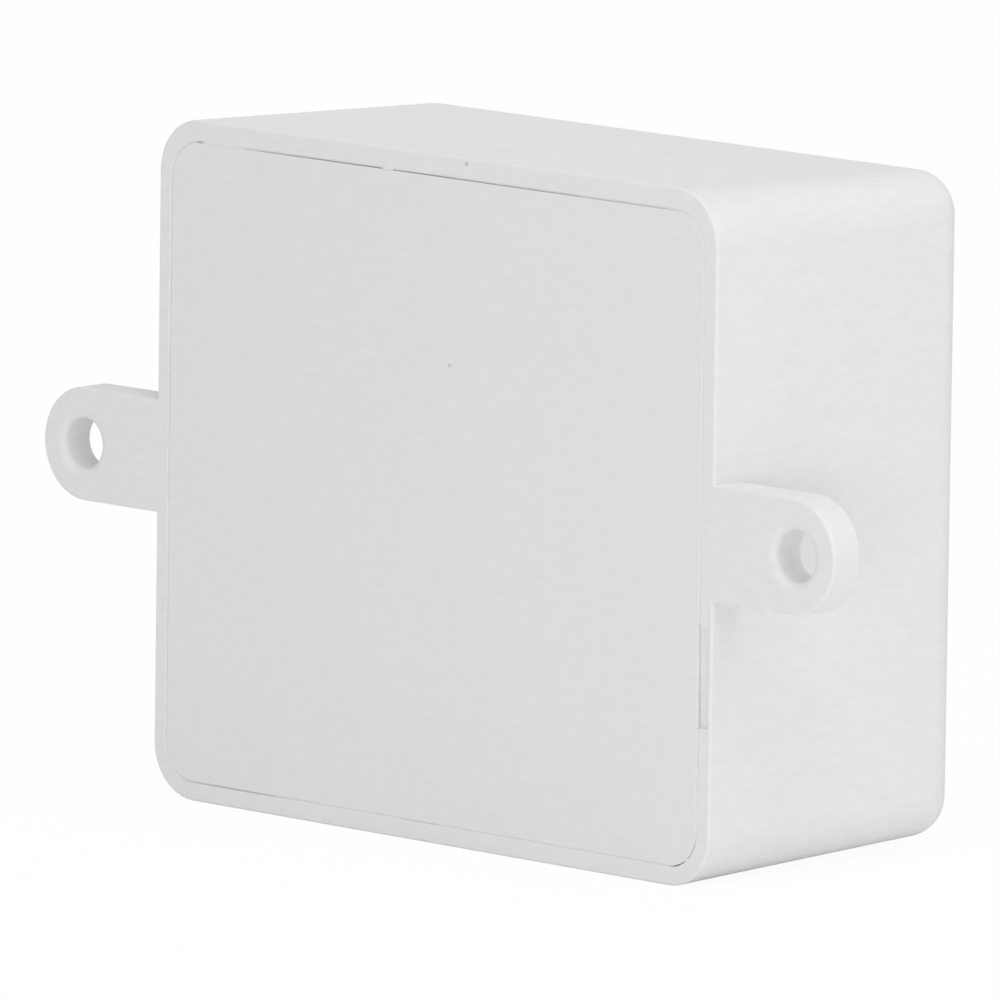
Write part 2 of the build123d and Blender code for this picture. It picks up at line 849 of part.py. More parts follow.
# Relay coil former and winding
with BuildPart() as relay_bobbin:
    for low, high in (
        (yoke_top_of_foot, lower_flange_top),
        (upper_flange_bottom, upper_flange_top),
    ):
        slab(around(coil_x, coil_flange), (low, high), around(relay_z, coil_flange))
    rods([(coil_x, relay_z)], (yoke_top_of_foot, upper_flange_top), coil_tube_radius)
    rods(
        [(coil_x, relay_z)],
        (yoke_top_of_foot, upper_flange_top),
        core_radius + running_clearance,
        mode=Mode.SUBTRACT,
    )
save(relay_bobbin, "relay_bobbin")

with BuildPart() as relay_winding:
    rods([(coil_x, relay_z)], (lower_flange_top, upper_flange_bottom), winding_radius)
    rods(
        [(coil_x, relay_z)],
        (lower_flange_top, upper_flange_bottom),
        coil_tube_radius + running_clearance,
        mode=Mode.SUBTRACT,
    )
save(relay_winding, "relay_winding")

# Relay armature, lying over the core, and the moving blade on its free end
with BuildPart() as relay_armature:
    slab(
        (coil_x - core_head_radius - blade_thickness, blade_start),
        (armature_bottom, armature_top),
        around(relay_z, armature_width),
    )
save(relay_armature, "relay_armature")

with BuildPart() as relay_moving_blade:
    slab(
        (blade_start, blade_end),
        (rivet_y - blade_tail, armature_top),
        around(relay_z, blade_width),
    )
    with BuildSketch(Plane.YZ.offset(blade_start - rivet_height)):
        with Locations((rivet_y, relay_z)):
            Circle(rivet_radius)
    extrude(amount=2 * rivet_height + blade_thickness)
save(relay_moving_blade, "relay_moving_blade")

# Fixed contacts: the one the blade rests on, and the one it closes on
for name, blade_x, face, reach in (
    ("relay_resting_contact", resting_blade_x, resting_face, -fixed_rivet_height),
    ("relay_closing_contact", closing_blade_x, closing_face, fixed_rivet_height),
):
    with BuildPart() as fixed_contact:
        slab(
            around(blade_x, blade_thickness),
            (relay_base_top, rivet_y + rivet_radius),
            around(relay_z, blade_width),
        )
        with BuildSketch(Plane.YZ.offset(face)):
            with Locations((rivet_y, relay_z)):
                Circle(rivet_radius)
        extrude(amount=reach)
        rods([(blade_x, relay_z)], (tail_y, relay_base_top), relay_pin_radius)
    save(fixed_contact, name)

with BuildPart() as relay_pins:
    rods(relay_pins_at, (tail_y, relay_base_top), relay_pin_radius)
save(relay_pins, "relay_pins")

# Boxed parts beside the relay
for name, x, z, thickness, length, height, leads in (
    ("film_capacitor", film_x, film_z, film_thickness, film_length, film_height, film_leads),
    ("fuse", fuse_x, fuse_z, fuse_thickness, fuse_length, fuse_height, fuse_leads),
):
    with BuildPart() as boxed:
        slab(
            around(x, thickness),
            (board_front + standoff, board_front + standoff + height),
            around(z, length),
        )
        fillet(boxed.edges(), radius=box_edge)
        rods(leads, (tail_y, board_front + standoff + box_edge), lead_radius)
    save(boxed, name)

# Varistor: an upright disc on two leads
with BuildPart() as varistor:
    varistor_y = board_front + 2 * standoff + varistor_radius
    with BuildSketch(Plane.YZ.offset(varistor_x - varistor_thickness / 2)):
        with Locations((varistor_y, varistor_z)):
            Circle(varistor_radius)
    extrude(amount=varistor_thickness)
    fillet(varistor.edges().filter_by(GeomType.CIRCLE), radius=varistor_thickness / 3)
    rods(varistor_leads, (tail_y, varistor_y), lead_radius)
save(varistor, "varistor")

# Supply transformer: ferrite frame, coil former with pin rails, and winding
core_bottom = board_front + rail_height
core_roof = core_bottom + core_height
window_low = core_bottom + core_yoke
window_high = core_roof - core_yoke
window_outer = core_width / 2 - core_outer_leg
former_low = window_low + bobbin_fit
former_high = window_high - bobbin_fit
tube_x = core_centre_leg + 2 * (bobbin_fit + bobbin_wall)
tube_z = core_depth + 2 * (bobbin_fit + bobbin_wall)
with BuildPart() as transformer_core:
    slab(
        around(transformer_x, core_width),
        (core_bottom, core_roof),
        around(transformer_z, core_depth),
    )
    for side in (-1, 1):
        slab(
            sorted((
                transformer_x + side * core_centre_leg / 2,
                transformer_x + side * window_outer,
            )),
            (window_low, window_high),
            around(transformer_z, core_depth + overrun),
            mode=Mode.SUBTRACT,
        )
save(transformer_core, "transformer_core")

with BuildPart() as transformer_bobbin:
    flange_x = 2 * (window_outer - bobbin_fit)
    for low, high in (
        (former_low, former_low + bobbin_flange),
        (former_high - bobbin_flange, former_high),
    ):
        slab(around(transformer_x, flange_x), (low, high), around(transformer_z, bobbin_depth))
    slab(around(transformer_x, tube_x), (former_low, former_high), around(transformer_z, tube_z))
    slab(
        around(transformer_x, core_centre_leg + 2 * bobbin_fit),
        (former_low - overrun, former_high + overrun),
        around(transformer_z, core_depth + 2 * bobbin_fit),
        mode=Mode.SUBTRACT,
    )
    for side in (-1, 1):
        slab(
            around(transformer_x, core_width),
            (board_front, former_low + bobbin_flange),
            around(transformer_z + side * bobbin_pin_z, bobbin_rail),
        )
    rods(transformer_pins, (tail_y, board_front), lead_radius)
save(transformer_bobbin, "transformer_bobbin")

with BuildPart() as transformer_winding:
    slab(
        around(transformer_x, flange_x - 2 * bobbin_fit),
        (former_low + bobbin_flange, former_high - bobbin_flange),
        around(transformer_z, bobbin_depth - 2 * part_gap),
    )
    fillet(transformer_winding.edges().filter_by(Axis.Y), radius=part_gap)
    slab(
        around(transformer_x, tube_x),
        (former_low, former_high),
        around(transformer_z, tube_z),
        mode=Mode.SUBTRACT,
    )
save(transformer_winding, "transformer_winding")

# Round capacitors, with the rolled neck near the foot
input_can_place = (input_can_x, input_can_z)
output_can_place = (output_can_x, output_can_z)
for name, place, radius, height, leads in (
    ("input_capacitor", input_can_place, input_can_radius, input_can_height, input_can_leads),
    ("output_capacitor", output_can_place, output_can_radius, output_can_height, output_can_leads),
):
    with BuildPart() as can:
        foot = board_front + standoff
        rods([place], (foot, foot + height), radius)
        fillet(can.edges().group_by(Axis.Y)[-1], radius=can_edge)
        neck = foot + 2 * can_neck_height
        with BuildSketch(layer(neck)):
            with Locations(place):
                Circle(radius + overrun)
                Circle(radius - can_neck, mode=Mode.SUBTRACT)
        extrude(amount=-can_neck_height, mode=Mode.SUBTRACT)
        rods(leads, (tail_y, foot), lead_radius)
    save(can, name)

# Chips on the solder side, with leads along both long edges
for name, x, z, lead_count in (
    ("converter_chip", transformer_x, transformer_z, converter_lead_count),
    ("bridge_rectifier", film_x, film_z, rectifier_lead_count),
):
    with BuildPart() as chip:
        slab(around(x, chip_length), (board_rear - chip_height, board_rear), around(z, chip_width))
        for i in range(lead_count):
            lead_x = x + ((i + 0.5) / lead_count - 0.5) * chip_length
            slab(
                around(lead_x, chip_lead_width),
                (board_rear - chip_lead_thickness, board_rear),
                around(z, chip_width + 2 * chip_lead_length),
            )
    save(chip, name)

# Radio board with its shield can
with BuildPart() as radio_board:
    slab(
        around(radio_x, radio_length),
        (board_front, board_front + radio_thickness),
        around(radio_z, radio_width),
    )
save(radio_board, "radio_board")

shield_x = radio_x - radio_length / 2 + shield_inset + shield_length / 2
shield_low = board_front + radio_thickness
with BuildPart() as radio_shield:
    slab(
        around(shield_x, shield_length),
        (shield_low, shield_low + shield_height),
        around(radio_z, shield_width),
    )
    fillet(radio_shield.edges().filter_by(Axis.Y), radius=2 * shield_wall)
    slab(
        around(shield_x, shield_length - 2 * shield_wall),
        (shield_low - overrun, shield_low + shield_height - shield_wall),
        around(radio_z, shield_width - 2 * shield_wall),
        mode=Mode.SUBTRACT,
    )
save(radio_shield, "radio_shield")

# Pairing switch: body on the board, plunger, and the button that reaches the front
with BuildPart() as switch_body:
    slab(around(switch_x, switch_size), (board_front, switch_top), around(switch_z, switch_size))
    rods(
        [(switch_x, switch_z)],
        (switch_top - switch_well, switch_top),
        plunger_radius + plunger_clearance,
        mode=Mode.SUBTRACT,
    )
    rods(switch_leads, (tail_y, board_front), lead_radius)
save(switch_body, "switch_body")

with BuildPart() as switch_plunger:
    rods([(switch_x, switch_z)], (plunger_bottom, plunger_top), plunger_radius)
save(switch_plunger, "switch_plunger")

with BuildPart() as pairing_button:
    rods([(switch_x, switch_z)], (button_flange_front, box_depth + button_stand), button_radius)
    fillet(pairing_button.edges().group_by(Axis.Y)[-1], radius=button_edge)
    rods(
        [(switch_x, switch_z)],
        (button_flange_front - button_flange, button_flange_front),
        button_radius + button_rim,
    )
    rods(
        [(switch_x, switch_z)],
        (plunger_top, button_flange_front - button_flange),
        button_stem_radius,
    )
save(pairing_button, "pairing_button")

# Lamp on the board and the light pipe that carries its light to the front
with BuildPart() as status_led:
    rods([(lamp_x, lamp_z)], (board_front, board_front + lamp_rim_height), lamp_radius + lamp_rim)
    rods([(lamp_x, lamp_z)], (board_front, lamp_top), lamp_radius)
    fillet(status_led.edges().group_by(Axis.Y)[-1], radius=lamp_radius - running_clearance)
    rods(lamp_leads, (tail_y, board_front), lead_radius)
save(status_led, "status_led")

with BuildPart() as light_pipe:
    rods([(lamp_x, lamp_z)], (pipe_rear, box_depth), pipe_radius)
    rods(
        [(lamp_x, lamp_z)],
        (cavity_front - pipe_collar_height, cavity_front),
        pipe_radius + pipe_collar,
    )
save(light_pipe, "light_pipe")

print("block top", block_top, "relay top", relay_top, "cavity front", cavity_front)
print("armature top", armature_top, "under the can's roof at", relay_top - relay_wall)
print("pivot", pivot_x, (leg_top + armature_bottom) / 2, relay_z)
print("clamp screws at z", clamp_z, "cage travel", cage_travel)
print("button at", switch_x, switch_z, "travel", button_travel)
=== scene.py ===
"""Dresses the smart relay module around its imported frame.

Lengths are in metres, and a length given in millimetres is multiplied by MM. X runs along the
ears, Z runs up and Y runs from the wall into the module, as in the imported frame.
"""

import json
import logging
import math
from dataclasses import dataclass, field
from enum import Enum

import bmesh
import bpy
from mathutils import Matrix, Vector


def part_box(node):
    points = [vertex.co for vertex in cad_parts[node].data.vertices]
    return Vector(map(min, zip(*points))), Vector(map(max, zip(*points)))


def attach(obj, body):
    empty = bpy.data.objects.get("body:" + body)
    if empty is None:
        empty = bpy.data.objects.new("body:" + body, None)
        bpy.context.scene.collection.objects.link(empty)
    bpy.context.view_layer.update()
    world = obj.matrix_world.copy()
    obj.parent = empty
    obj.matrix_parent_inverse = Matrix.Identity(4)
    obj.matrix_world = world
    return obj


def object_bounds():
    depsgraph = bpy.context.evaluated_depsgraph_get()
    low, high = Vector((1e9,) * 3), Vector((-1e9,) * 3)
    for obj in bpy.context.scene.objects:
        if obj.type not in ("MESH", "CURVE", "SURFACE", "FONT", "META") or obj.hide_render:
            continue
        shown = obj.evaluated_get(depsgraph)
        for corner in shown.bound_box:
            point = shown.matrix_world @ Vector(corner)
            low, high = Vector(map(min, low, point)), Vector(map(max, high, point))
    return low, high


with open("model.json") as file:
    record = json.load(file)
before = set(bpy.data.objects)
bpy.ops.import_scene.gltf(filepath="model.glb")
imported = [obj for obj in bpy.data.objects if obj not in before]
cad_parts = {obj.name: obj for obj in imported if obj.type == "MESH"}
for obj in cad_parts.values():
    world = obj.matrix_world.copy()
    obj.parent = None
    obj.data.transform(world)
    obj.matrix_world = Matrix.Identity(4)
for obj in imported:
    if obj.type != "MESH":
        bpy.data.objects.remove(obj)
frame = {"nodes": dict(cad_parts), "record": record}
cad_low, cad_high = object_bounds()

MM = 0.001
ROOT = "module"
log = logging.getLogger("relay_module")

Colour = tuple[float, float, float]
Point = tuple[float, float, float]
Spot = tuple[float, float]
Path2 = tuple[Spot, ...]
Socket = bpy.types.NodeSocket

WHITE = (1.0, 1.0, 1.0, 1.0)
WELD_DISTANCE = 1e-4
SCATTER_RADIUS = (1.0, 0.9, 0.8)
SCATTER_SCALE = 0.6 * MM


class NodeTree:
    """A small hand for wiring a shader node tree."""

    def __init__(self, tree: bpy.types.NodeTree) -> None:
        """Keeps the tree that the nodes go into."""
        self.tree = tree

    def add(self, kind: str, **settings: object) -> bpy.types.Node:
        """Adds a node.

        Args:
            kind: The node's type, without the ShaderNode prefix.
            **settings: Properties of the node, or inputs by their name in lower case.

        Returns:
            The new node.
        """
        node = self.tree.nodes.new("ShaderNode" + kind)
        for name, value in settings.items():
            if hasattr(node, name):
                setattr(node, name, value)
            else:
                node.inputs[name.replace("_", " ").title()].default_value = value
        return node

    def link(self, source: Socket, target: Socket) -> None:
        """Joins an output to an input."""
        self.tree.links.new(source, target)

    def maths(self, operation: str, first: float | Socket, second: float | Socket = 0.0) -> Socket:
        """Adds a Math node.

        Args:
            operation: The node's operation.
            first: A number or an output socket.
            second: A number or an output socket.

        Returns:
            The node's output.
        """
        node = self.add("Math", operation=operation)
        for socket, value in zip(node.inputs, (first, second)):
            if isinstance(value, Socket):
                self.link(value, socket)
            else:
                socket.default_value = value
        return node.outputs[0]

    def swing(self, value: Socket, amount: float | Socket) -> Socket:
        """How far a value lies from one half, times an amount."""
        return self.maths("MULTIPLY", self.maths("SUBTRACT", value, 0.5), amount)

    def tint(self, colour: Socket, level: Socket) -> Socket:
        """Multiplies a colour by a level that varies over the surface.

        Args:
            colour: The colour.
            level: The level.

        Returns:
            The tinted colour.
        """
        node = self.add("VectorMath", operation="SCALE")
        self.link(colour, node.inputs[0])
        self.link(level, node.inputs["Scale"])
        return node.outputs[0]

    def texture(self, kind: str, place: Socket, **settings: object) -> bpy.types.Node:
        """Adds a texture node, or a Mapping node, at some coordinates.

        Args:
            kind: The node's type, without the ShaderNode prefix.
            place: The coordinates.
            **settings: What the node is set to.

        Returns:
            The new node.
        """
        node = self.add(kind, **settings)
        self.link(place, node.inputs["Vector"])
        return node

    def seen(self) -> Socket:
        """Tells the eye's rays from those that only carry light.

        Returns:
            One for a ray that the camera sends, straight, by gloss or through glass, and else zero.
        """
        path = self.add("LightPath")
        seen = self.maths("MAXIMUM", path.outputs["Is Camera Ray"], path.outputs["Is Glossy Ray"])
        return self.maths("MAXIMUM", seen, path.outputs["Is Transmission Ray"])


class ShaderGroup:
    """A shader node group with named inputs and outputs, built once."""

    def __init__(self, name: str, inputs: dict[str, object], outputs: dict[str, str]) -> None:
        """Makes the group's sockets.

        Args:
            name: The group's name.
            inputs: Each input's name, with its default: a number or a colour.
            outputs: Each output's name, with its kind of socket.
        """
        self.tree = bpy.data.node_groups.new(name, "ShaderNodeTree")
        for label, default in inputs.items():
            kind = "NodeSocketFloat" if isinstance(default, (int, float)) else "NodeSocketColor"
            socket = self.tree.interface.new_socket(label, in_out="INPUT", socket_type=kind)
            socket.default_value = default
        for label, kind in outputs.items():
            self.tree.interface.new_socket(label, in_out="OUTPUT", socket_type=kind)
        self.nodes = NodeTree(self.tree)
        self.source = self.tree.nodes.new("NodeGroupInput")
        self.sink = self.tree.nodes.new("NodeGroupOutput")

    def given(self, label: str) -> Socket:
        """The group's input of that name, seen from inside."""
        return self.source.outputs[label]

    def gives(self, label: str, value: Socket) -> None:
        """Sends a value to the group's output of that name."""
        self.nodes.link(value, self.sink.inputs[label])


SURFACE_OUTPUTS = {
    "Colour": "NodeSocketColor",
    "Roughness": "NodeSocketFloat",
    "Height": "NodeSocketFloat",
}


def moulded_group() -> bpy.types.NodeTree:
    """Moulded plastic: cloudy patches, flow streaks, a few specks and a fine spark grain.

    Returns:
        The group, with a colour, a roughness and a height that vary over the surface.
    """
    group = ShaderGroup(
        "moulded_plastic",
        {
            "Colour": (0.8, 0.8, 0.8, 1.0),
            "Roughness": 0.5,
            "Cloud": 0.01,
            "Streak": 0.01,
            "Speck": 0.1,
            "Grain": 1.0,
            "Mark": 0.0,
            "Mark Size": 0.0,
            "Mark X": 0.0,
            "Mark Y": 0.0,
            "Mark Z": 0.0,
        },
        SURFACE_OUTPUTS,
    )
    speck_size, mark_edge, uneven = 0.018, 0.4, 0.12
    n = group.nodes
    place = n.add("TexCoord").outputs["Object"]
    cloud = n.texture("TexNoise", place, scale=140.0, detail=3.0, roughness=0.55).outputs["Fac"]
    drawn = n.texture("Mapping", place, scale=(0.4, 0.4, 1.0)).outputs[0]
    streak = n.texture("TexNoise", drawn, scale=1900.0, detail=2.0, roughness=0.5).outputs["Fac"]
    grain = n.texture("TexNoise", place, scale=7000.0, detail=1.0, roughness=0.5).outputs["Fac"]
    cells = n.texture("TexVoronoi", place, scale=95.0).outputs["Distance"]
    speck = n.maths("MULTIPLY", n.maths("LESS_THAN", cells, speck_size), group.given("Speck"))
    lift = n.maths("ADD", n.swing(cloud, group.given("Cloud")), n.swing(streak, group.given("Streak")))
    level = n.maths("SUBTRACT", n.maths("ADD", lift, 1.0), speck)
    spot = n.add("CombineXYZ")
    for axis in "XYZ":
        n.link(group.given("Mark " + axis), spot.inputs[axis])
    reach = n.add("VectorMath", operation="DISTANCE")
    n.link(place, reach.inputs[0])
    n.link(spot.outputs[0], reach.inputs[1])
    inside = n.maths("SUBTRACT", group.given("Mark Size"), reach.outputs["Value"])
    mark = n.maths("DIVIDE", inside, n.maths("MULTIPLY", group.given("Mark Size"), mark_edge))
    mark.node.use_clamp = True
    level = n.maths("SUBTRACT", level, n.maths("MULTIPLY", mark, group.given("Mark")))
    group.gives("Colour", n.tint(group.given("Colour"), level))
    group.gives("Roughness", n.maths("ADD", group.given("Roughness"), n.swing(cloud, uneven)))
    group.gives("Height", n.maths("MULTIPLY", grain, group.given("Grain")))
    return group.tree


def plated_group() -> bpy.types.NodeTree:
    """Plated metal: fine brushed lines, dull patches and a shallow ripple.

    Returns:
        The group, with a colour, a roughness and a height that vary over the surface.
    """
    group = ShaderGroup(
        "plated_metal",
        {"Colour": (0.7, 0.7, 0.7, 1.0), "Roughness": 0.3, "Dull": 0.15, "Brushing": 1.0},
        SURFACE_OUTPUTS,
    )
    n = group.nodes
    place = n.add("TexCoord").outputs["Object"]
    patch = n.texture("TexNoise", place, scale=900.0, detail=3.0, roughness=0.6).outputs["Fac"]
    drawn = n.texture("Mapping", place, scale=(1.0, 0.06, 1.0)).outputs[0]
    lines = n.texture("TexNoise", drawn, scale=9000.0, detail=2.0, roughness=0.6).outputs["Fac"]
    dull = n.swing(patch, group.given("Dull"))
    group.gives("Colour", n.tint(group.given("Colour"), n.maths("SUBTRACT", 1.0, dull)))
    group.gives("Roughness", n.maths("ADD", group.given("Roughness"), dull))
    group.gives("Height", n.maths("MULTIPLY", lines, group.given("Brushing")))
    return group.tree


def resist_group() -> bpy.types.NodeTree:
    """Solder resist over glass cloth: a faint square weave and a slow drift of depth.

    Returns:
        The group, with a colour, a roughness and a height that vary over the surface.
    """
    group = ShaderGroup(
        "solder_resist",
        {"Colour": (0.02, 0.2, 0.08, 1.0), "Roughness": 0.25, "Weave": 0.1},
        SURFACE_OUTPUTS,
    )
    drift_amount, rough_share = 0.3, 0.2
    n = group.nodes
    place = n.add("TexCoord").outputs["Object"]
    depth = n.texture("TexNoise", place, scale=260.0, detail=4.0, roughness=0.6).outputs["Fac"]
    warp, weft = (
        n.texture(
            "TexWave", place, wave_type="BANDS", bands_direction=way, scale=420.0, distortion=0.6,
        ).outputs["Fac"]
        for way in "XZ"
    )
    cloth = n.maths("MULTIPLY", warp, weft)
    drift = n.swing(depth, drift_amount)
    level = n.maths("ADD", n.maths("ADD", n.maths("MULTIPLY", cloth, group.given("Weave")), drift), 1.0)
    uneven = n.maths("MULTIPLY", drift, rough_share)
    group.gives("Colour", n.tint(group.given("Colour"), level))
    group.gives("Roughness", n.maths("ADD", group.given("Roughness"), uneven))
    group.gives("Height", cloth)
    return group.tree


class Effect(Enum):
    """The surface effects that the finishes share."""

    MOULDED = "moulded"
    PLATED = "plated"
    RESIST = "resist"


@dataclass
class EffectLibrary:
    """Builds each shared effect once, when a finish first asks for it."""

    built: dict[Effect, bpy.types.NodeTree] = field(default_factory=dict)

    def tree(self, effect: Effect) -> bpy.types.NodeTree:
        """Gives the node group of an effect.

        Args:
            effect: The effect.

        Returns:
            Its node group.
        """
        makers = {
            Effect.MOULDED: moulded_group,
            Effect.PLATED: plated_group,
            Effect.RESIST: resist_group,
        }
        if effect not in self.built:
            self.built[effect] = makers[effect]()
        return self.built[effect]


EFFECTS = EffectLibrary()


@dataclass(frozen=True)
class Finish:
    """One finish: an effect with its own values, and what the shader adds to it."""

    name: str
    effect: Effect
    colour: Colour
    roughness: float = 0.5
    amounts: tuple[tuple[str, float], ...] = ()
    bump: float = 0.2
    bump_depth: float = 0.02 * MM
    metallic: float = 0.0
    coat: float = 0.0
    specular: float = 0.5
    subsurface: float = 0.0
    transmission: float = 0.0

    def material(self) -> bpy.types.Material:
        """Makes the finish's material.

        Returns:
            The material, which is made once and then found by its name.
        """
        found = bpy.data.materials.get(self.name)
        if found is not None:
            return found
        made = bpy.data.materials.new(self.name)
        made.use_nodes = True
        made.node_tree.nodes.clear()
        n = NodeTree(made.node_tree)
        group = n.add("Group", node_tree=EFFECTS.tree(self.effect))
        group.inputs["Colour"].default_value = (*self.colour, 1.0)
        group.inputs["Roughness"].default_value = self.roughness
        for label, value in self.amounts:
            group.inputs[label].default_value = value
        shader = n.add("BsdfPrincipled")
        for label, value in (
            ("Metallic", self.metallic), ("Specular IOR Level", self.specular),
            ("Coat Weight", self.coat), ("Transmission Weight", self.transmission),
            ("Subsurface Weight", self.subsurface), ("Subsurface Radius", SCATTER_RADIUS),
            ("Subsurface Scale", SCATTER_SCALE),
        ):
            shader.inputs[label].default_value = value
        bump = n.add("Bump", strength=self.bump, distance=self.bump_depth)
        sink = n.add("OutputMaterial")
        n.link(group.outputs["Colour"], shader.inputs["Base Color"])
        n.link(group.outputs["Roughness"], shader.inputs["Roughness"])
        n.link(group.outputs["Height"], bump.inputs["Height"])
        n.link(bump.outputs["Normal"], shader.inputs["Normal"])
        n.link(shader.outputs["BSDF"], sink.inputs["Surface"])
        return made


def moulded(name: str, colour: Colour, roughness: float = 0.45, **more: object) -> Finish:
    """A moulded plastic with little of its own: coloured parts inside the module."""
    return Finish(name, Effect.MOULDED, colour, roughness, (("Cloud", 0.10), ("Streak", 0.06)), **more)


def plated(name: str, colour: Colour, roughness: float = 0.3, **more: object) -> Finish:
    """A plated or bare metal."""
    return Finish(name, Effect.PLATED, colour, roughness, metallic=1.0, bump=0.12, **more)


SHELL = Finish(
    "shell_white", Effect.MOULDED, (0.760, 0.760, 0.764), 0.70,
    (
        ("Cloud", 0.022), ("Streak", 0.090), ("Speck", 0.05), ("Grain", 1.0), ("Mark", 0.30),
        ("Mark Size", 0.19 * MM), ("Mark X", 2.93 * MM), ("Mark Z", 22.85 * MM),
    ),
    bump=0.12, bump_depth=0.006 * MM, specular=0.15,
)
COVER = Finish(
    "cover_white", Effect.MOULDED, (0.755, 0.757, 0.759), 0.72,
    (
        ("Cloud", 0.020), ("Streak", 0.078), ("Speck", 0.06), ("Grain", 1.0), ("Mark", 0.22),
        ("Mark Size", 0.18 * MM), ("Mark X", 1.59 * MM), ("Mark Z", 9.18 * MM),
    ),
    bump=0.12, bump_depth=0.006 * MM, specular=0.15,
)
BUTTON = moulded("button_grey", (0.60, 0.61, 0.62), 0.42)
PIPE = moulded("pipe_milky", (0.84, 0.90, 0.87), 0.20, transmission=0.25, subsurface=0.3)
LAMP = moulded("lamp_milky", (0.78, 0.86, 0.80), 0.25, subsurface=0.4)
BOARD = Finish("board_green", Effect.RESIST, (0.012, 0.115, 0.045), 0.28, coat=0.3, bump_depth=0.01 * MM)
RADIO = Finish("radio_blue", Effect.RESIST, (0.010, 0.030, 0.095), 0.28, coat=0.3, bump_depth=0.01 * MM)
TERMINAL = moulded("terminal_green", (0.035, 0.150, 0.075), 0.40)
STEEL = plated("zinc_steel", (0.66, 0.67, 0.68), 0.30)
CAGE = plated("nickel_cage", (0.70, 0.68, 0.63), 0.26)
BRASS = plated("brass", (0.76, 0.58, 0.27), 0.28)
TINNED = plated("tinned_copper", (0.74, 0.74, 0.73), 0.24)
RELAY_BASE = moulded("relay_black", (0.018, 0.018, 0.020), 0.42)
RELAY_CASE = moulded("relay_blue", (0.010, 0.050, 0.190), 0.36)
FORMER = moulded("former_black", (0.020, 0.019, 0.018), 0.45)
COPPER = plated("enamelled_copper", (0.62, 0.24, 0.09), 0.25, coat=0.4)
IRON = plated("nickelled_iron", (0.50, 0.50, 0.49), 0.34)
FERRITE = moulded("ferrite_grey", (0.045, 0.045, 0.048), 0.62)
TAPE = moulded("tape_yellow", (0.62, 0.42, 0.03), 0.28, coat=0.3)
SLEEVE = moulded("sleeve_dark", (0.014, 0.017, 0.030), 0.30, coat=0.3)
FILM_CASE = moulded("film_yellow", (0.56, 0.42, 0.05), 0.42)
FUSE_CASE = moulded("fuse_black", (0.016, 0.016, 0.017), 0.40)
VARISTOR = moulded("varistor_blue", (0.012, 0.055, 0.240), 0.30, coat=0.3)
CHIP = moulded("chip_black", (0.016, 0.016, 0.018), 0.50)
SWITCH_CASE = moulded("switch_black", (0.018, 0.018, 0.018), 0.45)
PLUNGER = moulded("plunger_ivory", (0.55, 0.50, 0.42), 0.42)

SLOT_FINISHES = {
    "shell": SHELL, "cover": COVER, "button": BUTTON, "light_pipe": PIPE, "lamp": LAMP,
    "board": BOARD, "radio_board": RADIO, "terminal_body": TERMINAL, "steel": STEEL,
    "cage": CAGE, "brass": BRASS, "tinned": TINNED, "relay_base": RELAY_BASE,
    "relay_case": RELAY_CASE, "former": FORMER, "copper": COPPER, "iron": IRON,
    "ferrite": FERRITE, "tape": TAPE, "can_sleeve": SLEEVE, "film_case": FILM_CASE,
    "fuse_case": FUSE_CASE, "varistor_coat": VARISTOR, "chip": CHIP,
    "switch_case": SWITCH_CASE, "switch_plunger": PLUNGER,
}

SOLDER = plated("solder", (0.72, 0.72, 0.71), 0.22)
GOLD = plated("gold_flash", (0.83, 0.64, 0.30), 0.25)
ALUMINIUM = plated("aluminium", (0.74, 0.75, 0.76), 0.30)
TRACK = Finish("track_green", Effect.RESIST, (0.020, 0.190, 0.075), 0.26, coat=0.3, bump_depth=0.01 * MM)
PRINT = moulded("print_white", (0.78, 0.79, 0.76), 0.60)
STRIPE = moulded("stripe_silver", (0.42, 0.45, 0.50), 0.30, coat=0.3)
CERAMIC = moulded("ceramic_brown", (0.27, 0.16, 0.09), 0.42)


def box(node: str) -> tuple[Vector, Vector]:
    """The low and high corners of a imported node, in millimetres."""
    low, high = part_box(node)
    return Vector(low) / MM, Vector(high) / MM


def lead_tips(node: str, behind: float = 3.6, reach: float = 1.6) -> list[Spot]:
    """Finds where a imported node's leads end behind the board.

    Args:
        node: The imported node.
        behind: The depth, in millimetres, that only leads reach behind.
        reach: How far apart the points of one lead may lie, in millimetres.

    Returns:
        The (x, z) centre of each lead, from left to right and then upwards.
    """
    found: list[list[Vector]] = []
    for vertex in frame["nodes"][node].data.vertices:
        point = Vector(vertex.co) / MM
        if point.y > behind:
            continue
        spot = Vector((point.x, point.z))
        home = next((group for group in found if (group[0] - spot).length < reach), None)
        if home is None:
            found.append([spot])
        else:
            home.append(spot)
    centres = []
    for group in found:
        low = Vector((min(p.x for p in group), min(p.y for p in group)))
        high = Vector((max(p.x for p in group), max(p.y for p in group)))
        centres.append(((low.x + high.x) / 2, (low.y + high.y) / 2))
    return sorted(centres)


